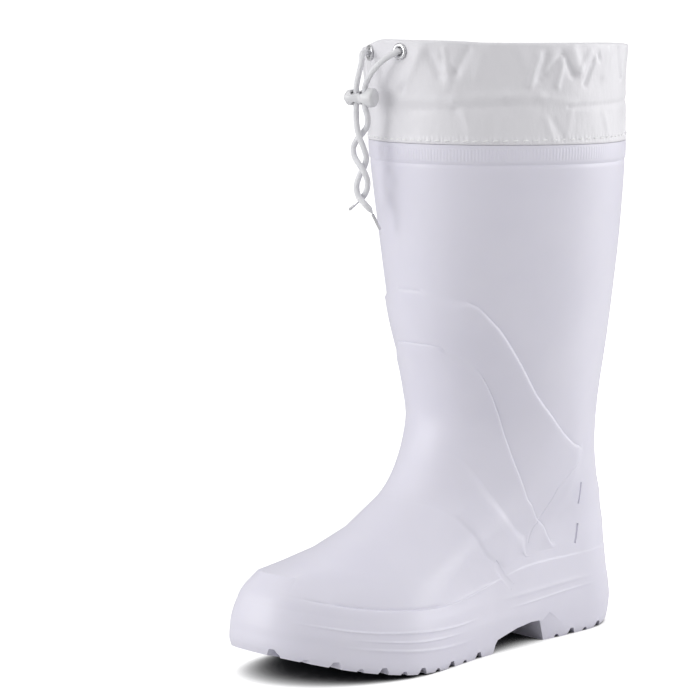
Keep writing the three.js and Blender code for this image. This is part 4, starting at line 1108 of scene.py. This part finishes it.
def tube(name, path, radius):
    """Braided tube with its radius given along the path: two sets of strands that wind
    opposite ways, the radius following the larger of their two waves."""
    along, side, third = carried_frames(path)
    run = np.concatenate([[0], np.cumsum(np.linalg.norm(np.diff(path, axis=0), axis=1))])
    a = STRANDS * np.linspace(0, 2 * math.pi, CORD_SIDES, endpoint=False)[None]
    lay = BRAID_LAY * run[:, None]
    wave = np.maximum(np.sin(a + lay), np.sin(a - lay))
    r = np.maximum(radius[:, None] + BRAID_DEPTH * (np.abs(wave) - 1), 0.05)
    points = path[:, None] + r[..., None] * circle(CORD_SIDES, side[:, None], third[:, None])
    rows = len(path)
    flat = np.vstack([points.reshape(-1, 3), path[0], path[-1]])
    faces = grid_faces(rows, CORD_SIDES) + fan_faces(rows, CORD_SIDES)
    return outward(make_object(name, flat, faces))


def at(points):
    """Points given across, forward from the heel and up, in the frame's own directions."""
    p = np.array(points, float)
    p[:, 1] = SOLE_LENGTH / 2 - p[:, 1]
    return p


def cord_path(side):
    """Curve of a cord from behind its eyelet to its tip, and its length."""
    centre, out = eyelet_place(side)
    start = np.array([centre + out * d for d in (-1.2, 0.6, 2.6)])
    return spline(np.vstack([start, at(ROUTES[side])]), CORD_ROWS)


def drawcord(side):
    """Braided cord, thinned at its end where the metal tip holds it."""
    path, length = cord_path(side)
    left = length - np.linspace(0, length, len(path))
    shrink = smooth(left, AGLET_SEAT, AGLET_SEAT + TIP_TAPER)
    radius = TIP_RADIUS + (CORD_RADIUS - TIP_RADIUS) * shrink
    piece = tube(f"cord_{side}", path, radius)
    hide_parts(f"drawcord_{side}")
    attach(piece, "boot")
    return piece, path, length


def aglet(side, path):
    """Turned metal tip with a rolled mouth and a rounded end."""
    along = unit(path[-1] - path[-4])
    mouth = path[-1] - along * AGLET_SEAT
    r, n, b = AGLET_RADIUS, AGLET_LENGTH, AGLET_BORE
    deep = AGLET_SEAT + CLEARANCE
    profile = [(deep, 0), (deep, b), (0.25, b), (0.05, b + 0.05), (0, b + 0.12), (0.1, r),
               (0.6, r), (0.75, r - 0.1), (1.0, r - 0.1), (1.15, r), (n - 1.0, r),
               (n - 0.6, r - 0.06), (n - 0.25, r - 0.25), (n - 0.06, r - 0.5), (n, 0)]
    piece = lathe(f"tip_{side}", profile, axes_along(along), mouth, 32)
    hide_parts(f"aglet_{side}")
    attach(piece, "boot")
    return piece


def eyelet(side):
    """Rolled ring: its flange rises to a rounded bead and turns down into the barrel."""
    centre, out = eyelet_place(side)
    front, back = CLEARANCE + 0.15, -1.6
    a = np.linspace(math.pi * 0.02, math.pi * 0.98, 14)
    mid = (EYELET_RADIUS + EYELET_BORE) / 2
    half = (EYELET_RADIUS - EYELET_BORE) / 2
    crown = EYELET_HEIGHT - EYELET_EDGE
    bead = [(front + EYELET_EDGE + crown * math.sin(q), mid + half * math.cos(q)) for q in a]
    ring = [(front, EYELET_BARREL), (front, EYELET_RADIUS - 0.1)] + bead
    ring += [(back, EYELET_BORE), (back, EYELET_BARREL)]
    along, u, w = axes_along(out)
    s, r = np.array(ring).T
    points = centre + s[:, None, None] * along + r[:, None, None] * circle(EYELET_SIDES, u, w)
    faces = grid_faces(len(s), EYELET_SIDES, loop=True)
    piece = outward(make_object(f"ring_{side}", points, faces))
    piece.data.set_sharp_from_angle(angle=math.radians(45))
    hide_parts(f"eyelet_{side}")
    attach(piece, "boot")
    return piece


def lock_axes():
    """Directions of the cord lock: along its barrel, across it and up."""
    along = np.array([math.cos(LOCK_TURN), math.sin(LOCK_TURN), 0])
    return along, np.array([-along[1], along[0], 0]), np.array([0, 0, 1.0])


def lock_barrel():
    """Two-lobed barrel: a turned body less its bore, the two cord holes and their scoops."""
    along, side, up = lock_axes()
    s, r = np.array(BARREL).T
    k = np.arange(float(len(s)))
    i = np.linspace(0, len(s) - 1, 66)
    profile = [(s[0], 0)] + list(zip(curve(k, s, i), curve(k, r, i))) + [(s[-1], 0)]
    piece = lathe("lock_body", profile, (along, side, up), LOCK_CENTRE, 72)
    bore = [(-12, 0), (-12, LOCK_BORE), (BORE_END, LOCK_BORE), (BORE_END, 0)]
    cutters = [lathe("cutter_bore", bore, (along, side, up), LOCK_CENTRE, 48)]
    hole = [(-7, 0), (-7, HOLE_RADIUS), (7, HOLE_RADIUS), (7, 0)]
    a = np.linspace(0, math.pi, 17)
    scoop = list(zip(-SCOOP_RADIUS * np.cos(a), SCOOP_RADIUS * np.sin(a)))
    for shift in (-HOLE_SHIFT, HOLE_SHIFT):
        centre = LOCK_CENTRE + shift * along
        cutters.append(lathe("cutter_hole", hole, (up, along, side), centre, 40))
        for rise, ahead in SCOOPS:
            spot = centre + rise * up - ahead * side
            cutters.append(lathe("cutter_scoop", scoop, (up, along, side), spot, 32))
    cut(piece, cutters)
    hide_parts("cord_lock_barrel")
    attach(piece, "boot")
    return piece


def lock_button():
    """Push button: a domed rod with a window that the two cords pass through."""
    along, side, up = lock_axes()
    end = BORE_END - BUTTON_TRAVEL - CLEARANCE
    profile = BUTTON_DOME + [(-9.3, BUTTON_RADIUS), (end, BUTTON_RADIUS), (end, 0)]
    piece = lathe("lock_push", profile, (along, side, up), LOCK_CENTRE, 56)
    reach = HOLE_SHIFT + SLOT_HALF
    low, high = -reach - BUTTON_TRAVEL, reach
    corners = [(low, -SLOT_HALF), (high, -SLOT_HALF), (high, SLOT_HALF), (low, SLOT_HALF)]
    place = lambda a, b, end: LOCK_CENTRE + a * along + b * side + end * up
    cut(piece, [prism("cutter_window", corners, (-10, 10), place)])
    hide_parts("cord_lock_button")
    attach(piece, "lock_button")
    return piece


# Materials


class Nodes:
    """Small helper to build a node tree: add nodes, set their values and link them."""

    def __init__(self, tree):
        self.tree = tree

    def link(self, start, end):
        """Link from one socket to another."""
        self.tree.links.new(start, end)

    def put(self, socket, value):
        """Links a socket to another one, or sets it to a colour or a number."""
        if isinstance(value, bpy.types.NodeSocket):
            self.link(value, socket)
        else:
            socket.default_value = (*value, 1) if isinstance(value, tuple) else value

    def add(self, kind, **settings):
        """New node, its attributes and its sockets given by name."""
        node = self.tree.nodes.new(kind)
        for key, value in settings.items():
            if hasattr(node, key):
                setattr(node, key, value)
            else:
                self.put(node.inputs[key.replace("_", " ")], value)
        return node

    def math(self, kind, a, b=None):
        """Sum, product or function of one or two values."""
        node = self.add("ShaderNodeMath", operation=kind)
        for socket, value in zip(node.inputs, (a, b)):
            if value is not None:
                self.put(socket, value)
        return node.outputs[0]

    def ramp(self, value, low, high, to_low=0.0, to_high=1.0, kind="SMOOTHSTEP"):
        """Value carried from one range to another, eased at both ends."""
        return self.add("ShaderNodeMapRange", interpolation_type=kind, Value=value, From_Min=low,
                        From_Max=high, To_Min=to_low, To_Max=to_high).outputs["Result"]

    def noise(self, vector, scale, detail=2.0, roughness=0.5):
        """Smooth noise of so many waves per metre."""
        return self.add("ShaderNodeTexNoise", Vector=vector, Scale=scale, Detail=detail,
                        Roughness=roughness).outputs["Fac"]

    def mix(self, factor, a, b):
        """Colour between two colours."""
        node = self.add("ShaderNodeMix", data_type="RGBA")
        for place, value in (("Factor", factor), (6, a), (7, b)):
            self.put(node.inputs[place], value)
        return node.outputs[2]


def new_group(name, inputs, outputs):
    """Shader node group with named inputs (name, kind, value) and outputs (name, kind)."""
    group = bpy.data.node_groups.new(name, "ShaderNodeTree")
    kinds = {"value": "NodeSocketFloat", "color": "NodeSocketColor", "vector": "NodeSocketVector"}
    for key, kind, value in inputs:
        socket = group.interface.new_socket(key, in_out="INPUT", socket_type=kinds[kind])
        if value is not None:
            socket.default_value = (*value, 1) if kind == "color" else value
    for key, kind in outputs:
        group.interface.new_socket(key, in_out="OUTPUT", socket_type=kinds[kind])
    n = Nodes(group)
    return group, n, n.add("NodeGroupInput").outputs, n.add("NodeGroupOutput").inputs


def grain_group():
    """Fine grain: two noises of different size make a height and a mottled roughness, and a
    slow noise moves the colour between the base and a tint."""
    group, n, i, o = new_group(
        "fine_grain",
        [("Vector", "vector", None), ("Base", "color", (0.8, 0.8, 0.8)),
         ("Tint", "color", (0.7, 0.7, 0.7)), ("Size", "value", 800.0),
         ("Slow", "value", 25.0), ("Rough", "value", 0.45), ("Spread", "value", 0.08)],
        [("Color", "color"), ("Roughness", "value"), ("Height", "value")])
    fine = n.noise(i["Vector"], i["Size"], 3.0, 0.55)
    middle = n.noise(i["Vector"], n.math("MULTIPLY", i["Size"], 0.22), 2.0)
    slow = n.noise(i["Vector"], i["Slow"], 3.0, 0.6)
    n.link(n.mix(n.ramp(slow, 0.35, 0.7), i["Base"], i["Tint"]), o["Color"])
    mottle = n.math("SUBTRACT", n.math("ADD", middle, slow), 1.0)
    n.link(n.math("ADD", i["Rough"], n.math("MULTIPLY", mottle, i["Spread"])), o["Roughness"])
    n.link(n.math("ADD", n.math("MULTIPLY", fine, 0.6), n.math("MULTIPLY", middle, 0.4)),
           o["Height"])
    return group


def weave_group():
    """Plain weave on a vector in millimetres round and up: warp and weft waves of one
    thread's width, taking turns on top."""
    group, n, i, o = new_group(
        "plain_weave", [("Vector", "vector", None), ("Thread", "value", 0.4)],
        [("Height", "value")])
    part = n.add("ShaderNodeSeparateXYZ", Vector=i["Vector"])
    k = n.math("DIVIDE", math.pi, i["Thread"])
    x, y = n.math("MULTIPLY", part.outputs[0], k), n.math("MULTIPLY", part.outputs[1], k)
    swap = n.math("MULTIPLY", n.math("SINE", x), n.math("SINE", y))
    over = n.math("ABSOLUTE", n.math("COSINE", n.math("MULTIPLY", x, 0.5)))
    under = n.math("ABSOLUTE", n.math("COSINE", n.math("MULTIPLY", y, 0.5)))
    pick = n.ramp(swap, -0.15, 0.15)
    high = n.math("ADD", n.math("MULTIPLY", over, pick),
                  n.math("MULTIPLY", under, n.math("SUBTRACT", 1.0, pick)))
    n.link(high, o["Height"])
    return group


def crease_shade_group():
    """Painted shade in creases: the colour is drawn towards the crease colour where the surface's
    pointiness is low.
    """
    group, n, i, o = new_group(
        "edge_tone", [("Color", "color", (0.8, 0.8, 0.8)), ("Crease", "color", (0.5, 0.5, 0.55)),
                      ("Amount", "value", 0.5)], [("Color", "color")])
    point = n.add("ShaderNodeNewGeometry").outputs["Pointiness"]
    # Painted shade: low pointiness (creases) darkens towards the crease colour
    deep = n.math("MULTIPLY", n.ramp(point, 0.40, 0.49, 1.0, 0.0), i["Amount"])
    n.link(n.mix(deep, i["Color"], i["Crease"]), o["Color"])
    return group


def new_material(name):
    """Empty material with one Principled shader: the material, its nodes, the sockets."""
    material = bpy.data.materials.new(name)
    material.use_nodes = True
    material.node_tree.nodes.clear()
    n = Nodes(material.node_tree)
    shader = n.add("ShaderNodeBsdfPrincipled")
    n.link(shader.outputs[0], n.add("ShaderNodeOutputMaterial").inputs[0])
    return material, n, shader.inputs


def object_vector(n):
    """Place on the piece, in metres."""
    return n.add("ShaderNodeTexCoord").outputs["Object"]


def use(n, group, **values):
    """Puts a node group into a tree with its own values or links."""
    return n.add("ShaderNodeGroup", node_tree=group, **values).outputs


def bump(n, height, strength, distance, below=None):
    """Bump of a height, on top of another normal where one is given."""
    node = n.add("ShaderNodeBump", Strength=strength, Distance=distance, Height=height)
    if below is not None:
        n.link(below, node.inputs["Normal"])
    return node.outputs[0]


def around_boot(n, vector):
    """Angle round the shaft's middle, and the height, in radians and millimetres."""
    part = n.add("ShaderNodeSeparateXYZ", Vector=vector)
    y = n.math("SUBTRACT", part.outputs[1], SHAFT_MIDDLE / 1000)
    x = n.math("MULTIPLY", part.outputs[0], TOP_DEPTH / TOP_WIDTH)
    angle = n.math("ARCTAN2", x, y)
    return angle, n.math("MULTIPLY", part.outputs[2], 1000)


SHAFT_MIDDLE = SOLE_LENGTH / 2 - SHAFT_BACK - TOP_DEPTH / 2 + TO_CENTRE
# Upright ribs round the collar; radius that turns the angle into cloth, and its thread
COLLAR_RIBS = 236
CLOTH_RADIUS = 84.0
THREAD = 0.45
# Paler colour painted on the cuff's inside: painted light for the light falling in from above
PAINTED_INSIDE_LIGHT = (0.95, 0.945, 0.955)

# Finishes: colour and its tint, grain size, size of the slow mottle, roughness and its
# spread, colour of the painted shade in creases and its amount, strength and depth of the nap
LOOKS = {
    "foam": dict(base=(0.795, 0.780, 0.875), tint=(0.770, 0.756, 0.855), size=1500.0,
                 slow=14.0, rough=0.43, spread=0.16, crease=(0.52, 0.52, 0.60), amount=0.55),
    "nylon": dict(base=(0.822, 0.813, 0.850), tint=(0.797, 0.788, 0.824), size=420.0,
                  slow=30.0, rough=0.46, spread=0.18, crease=(0.55, 0.55, 0.57), amount=0.5),
    "nickel": dict(base=(0.78, 0.78, 0.80), tint=(0.70, 0.70, 0.72), size=3000.0, slow=300.0,
                   rough=0.27, spread=0.14, nap=(0.06, 0.0001)),
    "white_cord": dict(base=(0.82, 0.82, 0.845), tint=(0.76, 0.76, 0.79), size=3600.0,
                       slow=120.0, rough=0.74, spread=0.2, crease=(0.5, 0.5, 0.54),
                       amount=0.6, nap=(0.4, 0.0002)),
    "white_plastic": dict(base=(0.78, 0.78, 0.80), tint=(0.74, 0.74, 0.765), size=2600.0,
                          slow=160.0, rough=0.34, spread=0.12, crease=(0.4, 0.4, 0.44),
                          amount=0.5, nap=(0.08, 0.0001)),
    "pale_felt": dict(base=(0.70, 0.70, 0.69), tint=(0.62, 0.62, 0.61), size=1400.0,
                      slow=90.0, rough=0.9, spread=0.1, nap=(0.6, 0.0006)),
}
LOOKS["white_thread"] = dict(LOOKS["white_cord"], base=(0.95, 0.95, 0.96), tint=(0.93, 0.93, 0.94))


def grained(name, groups, look, **sockets):
    """Material whose colour and roughness follow the fine grain, with painted shade darkening
    its creases where the look gives a crease colour; the other sockets get their one value for the
    whole surface."""
    material, n, p = new_material(name)
    where = object_vector(n)
    grain = use(n, groups["grain"], Vector=where, Base=look["base"], Tint=look["tint"],
                Size=look["size"], Slow=look["slow"], Rough=look["rough"], Spread=look["spread"])
    color = grain["Color"]
    # Painted shade in creases, where the look gives a crease colour
    if "crease" in look:
        color = use(n, groups["edge"], Color=color, Crease=look["crease"],
                    Amount=look["amount"])["Color"]
    n.link(color, p["Base Color"])
    n.link(grain["Roughness"], p["Roughness"])
    if "nap" in look:
        n.link(bump(n, grain["Height"], *look["nap"]), p["Normal"])
    for key, value in sockets.items():
        p[key.replace("_", " ")].default_value = value
    return material, n, p, where, grain, color


def foam_material(groups):
    """Injected foam: satin skin with a fine grain, and the collar's upright ribs."""
    material, n, p, where, grain, _ = grained(
        "white_foam", groups, LOOKS["foam"], Specular_IOR_Level=0.45, Coat_Weight=0.12,
        Coat_Roughness=0.35, Subsurface_Weight=0.08, Subsurface_Radius=(0.004, 0.004, 0.005),
        Subsurface_Scale=1.0)
    angle, height = around_boot(n, where)
    ribs = n.math("SINE", n.math("MULTIPLY", angle, float(COLLAR_RIBS)))
    band = n.math("MULTIPLY", n.ramp(height, 317.8, 319.2), n.ramp(height, 325.6, 326.6, 1.0, 0.0))
    uneven = n.ramp(n.noise(where, 16.0, 1.0), 0.36, 0.56)
    ribs = n.math("MULTIPLY", n.math("MULTIPLY", n.ramp(ribs, -0.8, 0.8), band), uneven)
    fine = bump(n, grain["Height"], 0.12, 0.0002)
    n.link(bump(n, ribs, 0.34, 0.0005, fine), p["Normal"])
    return material


def cuff_material(groups):
    """Coated nylon: plain weave, small creases and a slight sheen; a paler colour is painted
    inside, where the surface faces the shaft's middle, as painted light falling into the cuff."""
    material, n, p, where, grain, color = grained(
        "white_nylon", groups, LOOKS["nylon"], Sheen_Weight=0.12, Sheen_Roughness=0.4)
    angle, height = around_boot(n, where)
    cloth = n.add("ShaderNodeCombineXYZ", X=n.math("MULTIPLY", angle, CLOTH_RADIUS), Y=height)
    weave = use(n, groups["weave"], Vector=cloth.outputs[0], Thread=THREAD)
    spot = n.add("ShaderNodeSeparateXYZ", Vector=where)
    face = n.add("ShaderNodeSeparateXYZ",
                 Vector=n.add("ShaderNodeNewGeometry").outputs["Normal"])
    y = n.math("SUBTRACT", spot.outputs[1], SHAFT_MIDDLE / 1000)
    facing = n.math("ADD", n.math("MULTIPLY", spot.outputs[0], face.outputs[0]),
                    n.math("MULTIPLY", y, face.outputs[1]))
    # Painted light: the inside, facing the shaft's middle, gets the paler colour
    inside_light = n.ramp(facing, -0.03, 0.0, 1.0, 0.0)
    n.link(n.mix(inside_light, color, PAINTED_INSIDE_LIGHT), p["Base Color"])
    rumple = n.add("ShaderNodeMapping", Vector=where)
    rumple.inputs["Scale"].default_value = (1.0, 1.0, 0.45)
    soft = n.noise(rumple.outputs[0], 130.0, 3.0, 0.55)
    below = bump(n, soft, 0.32, 0.0014)
    below = bump(n, weave["Height"], 0.18, 0.00012, below)
    n.link(bump(n, grain["Height"], 0.1, 0.0002, below), p["Normal"])
    return material


def paint(piece, material):
    """Gives the whole piece one material."""
    piece.data.materials.clear()
    piece.data.materials.append(material)


# Stage

# Camera: turn from the toe in degrees, distance and height in millimetres, and its aim
VIEW_AZIMUTH = 44.55
CAMERA_REACH = 1736.0
CAMERA_HEIGHT = 436.1
CAMERA_AIM = [-75.31, 0, 186.9]
SENSOR = 36
FOCAL_PIXELS = 2720.2
PICTURE_PIXELS = 700


def add_camera():
    """Camera at the photograph's angle: 44.55 degrees round from the toe, level with a
    point above the cuff, and about 1.75 m away."""
    azimuth = math.radians(VIEW_AZIMUTH)
    place = metres([CAMERA_REACH * math.sin(azimuth), -CAMERA_REACH * math.cos(azimuth),
                    CAMERA_HEIGHT])
    aim = metres(CAMERA_AIM)
    data = bpy.data.cameras.new("camera")
    data.sensor_width = SENSOR
    data.lens = SENSOR * FOCAL_PIXELS / PICTURE_PIXELS
    data.clip_end = 100
    camera = bpy.data.objects.new("camera", data)
    camera.location = place
    camera.rotation_euler = Vector(aim - place).to_track_quat("-Z", "Y").to_euler()
    bpy.context.scene.collection.objects.link(camera)
    bpy.context.scene.camera = camera


# Square soft boxes: azimuth from the camera's side, elevation, distance, side, watts
SOFT_BOXES = {
    "left_rear": (-90, 12, 2.2, 1.0, 5.8),
    "left": (-60, 12, 2.2, 1.0, 14.5),
    "right": (90, 12, 2.2, 1.0, 15.5),
    "right_rear": (120, 12, 2.2, 1.0, 7.0),
    "high_left": (-60, 50, 2.2, 1.3, 6.2),
    "high_right": (60, 50, 2.2, 1.3, 6.9),
    "rear": (180, 50, 2.2, 1.3, 4.3),
    "top": (0, 87, 2.0, 1.8, 2.4),
}
LIGHT_AIM = (0, 0, 0.18)
AMBIENT = 0.40
BACKDROP = 1.15


def add_lights():
    """Soft boxes round the boot, an even ambient light and a white backdrop for the camera."""
    aim = Vector(LIGHT_AIM)
    for name, (azimuth, elevation, reach, side, watts) in SOFT_BOXES.items():
        a, e = math.radians(VIEW_AZIMUTH + azimuth), math.radians(elevation)
        data = bpy.data.lights.new(name, "AREA")
        data.shape = "RECTANGLE"
        data.size = data.size_y = side
        data.energy = watts
        lamp = bpy.data.objects.new(name, data)
        lamp.location = aim + reach * Vector(
            (math.cos(e) * math.sin(a), -math.cos(e) * math.cos(a), math.sin(e)))
        lamp.rotation_euler = (aim - lamp.location).to_track_quat("-Z", "Y").to_euler()
        lamp.visible_camera = False
        bpy.context.scene.collection.objects.link(lamp)
    world = bpy.data.worlds.new("studio")
    bpy.context.scene.world = world
    world.use_nodes = True
    tree = world.node_tree
    ambient, seen = tree.nodes["Background"], tree.nodes.new("ShaderNodeBackground")
    for sky, strength in ((ambient, AMBIENT), (seen, BACKDROP)):
        sky.inputs["Color"].default_value = (1.0, 1.0, 1.0, 1)
        sky.inputs["Strength"].default_value = strength
    rays, mix = tree.nodes.new("ShaderNodeLightPath"), tree.nodes.new("ShaderNodeMixShader")
    tree.links.new(rays.outputs["Is Camera Ray"], mix.inputs["Fac"])
    tree.links.new(ambient.outputs[0], mix.inputs[1])
    tree.links.new(seen.outputs[0], mix.inputs[2])
    tree.links.new(mix.outputs[0], tree.nodes["World Output"].inputs["Surface"])
    bpy.context.scene.view_settings.view_transform = "Standard"


FLOOR_RINGS = np.array([0.02, 0.2, 0.4, 0.8, 1.6, 3.2, 6.4, 12.0]) * 1000
FLOOR_SIDES = 64
# Contact shadow: how far it reaches in metres, and which open shares are dark and clear
SHADOW_REACH = 0.045
SHADOW_SAMPLES = 24
SHADOW_DEEP = 0.12
SHADOW_OPEN = 0.60
SHADOW_COLOR = (0.03, 0.03, 0.035)
PAPER_COLOR = (0.70, 0.70, 0.70)


def add_floor():
    """White paper floor that the camera sees as pure white but for the contact shadow."""
    turn = np.linspace(0, 2 * math.pi, FLOOR_SIDES, endpoint=False)
    rings = FLOOR_RINGS[:, None]
    points = np.stack([rings * np.cos(turn), rings * np.sin(turn), 0 * rings * turn], -1)
    points[..., 1] -= TO_CENTRE
    faces = grid_faces(len(FLOOR_RINGS), FLOOR_SIDES) + cap_faces(0, FLOOR_SIDES, True)
    floor = make_object("paper_floor", points, faces)
    material, n, p = new_material("white_paper")
    where = object_vector(n)
    n.link(n.ramp(n.noise(where, 40.0), 0.3, 0.7, 0.84, 0.88), p["Roughness"])
    p["Specular IOR Level"].default_value = 0.0
    p["Emission Color"].default_value = (1.0, 1.0, 1.0, 1)
    distance = n.add("ShaderNodeVectorMath", operation="LENGTH")
    n.link(where, distance.inputs[0])
    near = n.add("ShaderNodeAmbientOcclusion", samples=SHADOW_SAMPLES, Distance=SHADOW_REACH)
    open_sky = n.ramp(near.outputs["AO"], SHADOW_DEEP, SHADOW_OPEN, kind="LINEAR")
    n.link(n.mix(open_sky, SHADOW_COLOR, PAPER_COLOR), p["Base Color"])
    glow = n.math("MULTIPLY", open_sky, n.ramp(distance.outputs["Value"], 0.3, 1.2, 0.8, 1.1))
    rays = n.add("ShaderNodeLightPath")
    n.link(n.math("MULTIPLY", glow, rays.outputs["Is Camera Ray"]), p["Emission Strength"])
    paint(floor, material)


def main():
    """Builds every piece and its materials, then camera, floor and lights."""
    add_camera()
    cords = {side: drawcord(side) for side in ROUTES}
    tips = {side: aglet(side, cords[side][1]) for side in ROUTES}
    rings = [eyelet(side) for side in ROUTES]
    barrel, button = lock_barrel(), lock_button()
    for side, (piece, path, length) in cords.items():
        metres(path[0])
        metres(path).tolist()
    shell, cloth, stitches = moulded_shell(), cuff(), hem_stitches()
    # The "edge" group paints shade into creases
    groups = {"grain": grain_group(), "weave": weave_group(), "edge": crease_shade_group()}
    paint(shell, foam_material(groups))
    paint(cloth, cuff_material(groups))
    finishes = {
        "white_cord": ([piece for piece, _, _ in cords.values()],
                       dict(Sheen_Weight=0.25, Sheen_Roughness=0.5)),
        "white_thread": ([stitches], dict(Sheen_Weight=0.25, Sheen_Roughness=0.5)),
        "nickel": ([*tips.values(), *rings], dict(Metallic=1.0)),
        "white_plastic": ([barrel, button], dict(Coat_Weight=0.2, Coat_Roughness=0.2)),
        "pale_felt": ([bpy.data.objects["insole"]], dict(Sheen_Weight=0.3)),
    }
    for name, (pieces, sockets) in finishes.items():
        material = grained(name, groups, LOOKS[name], **sockets)[0]
        for piece in pieces:
            paint(piece, material)
    add_floor()
    add_lights()


main()
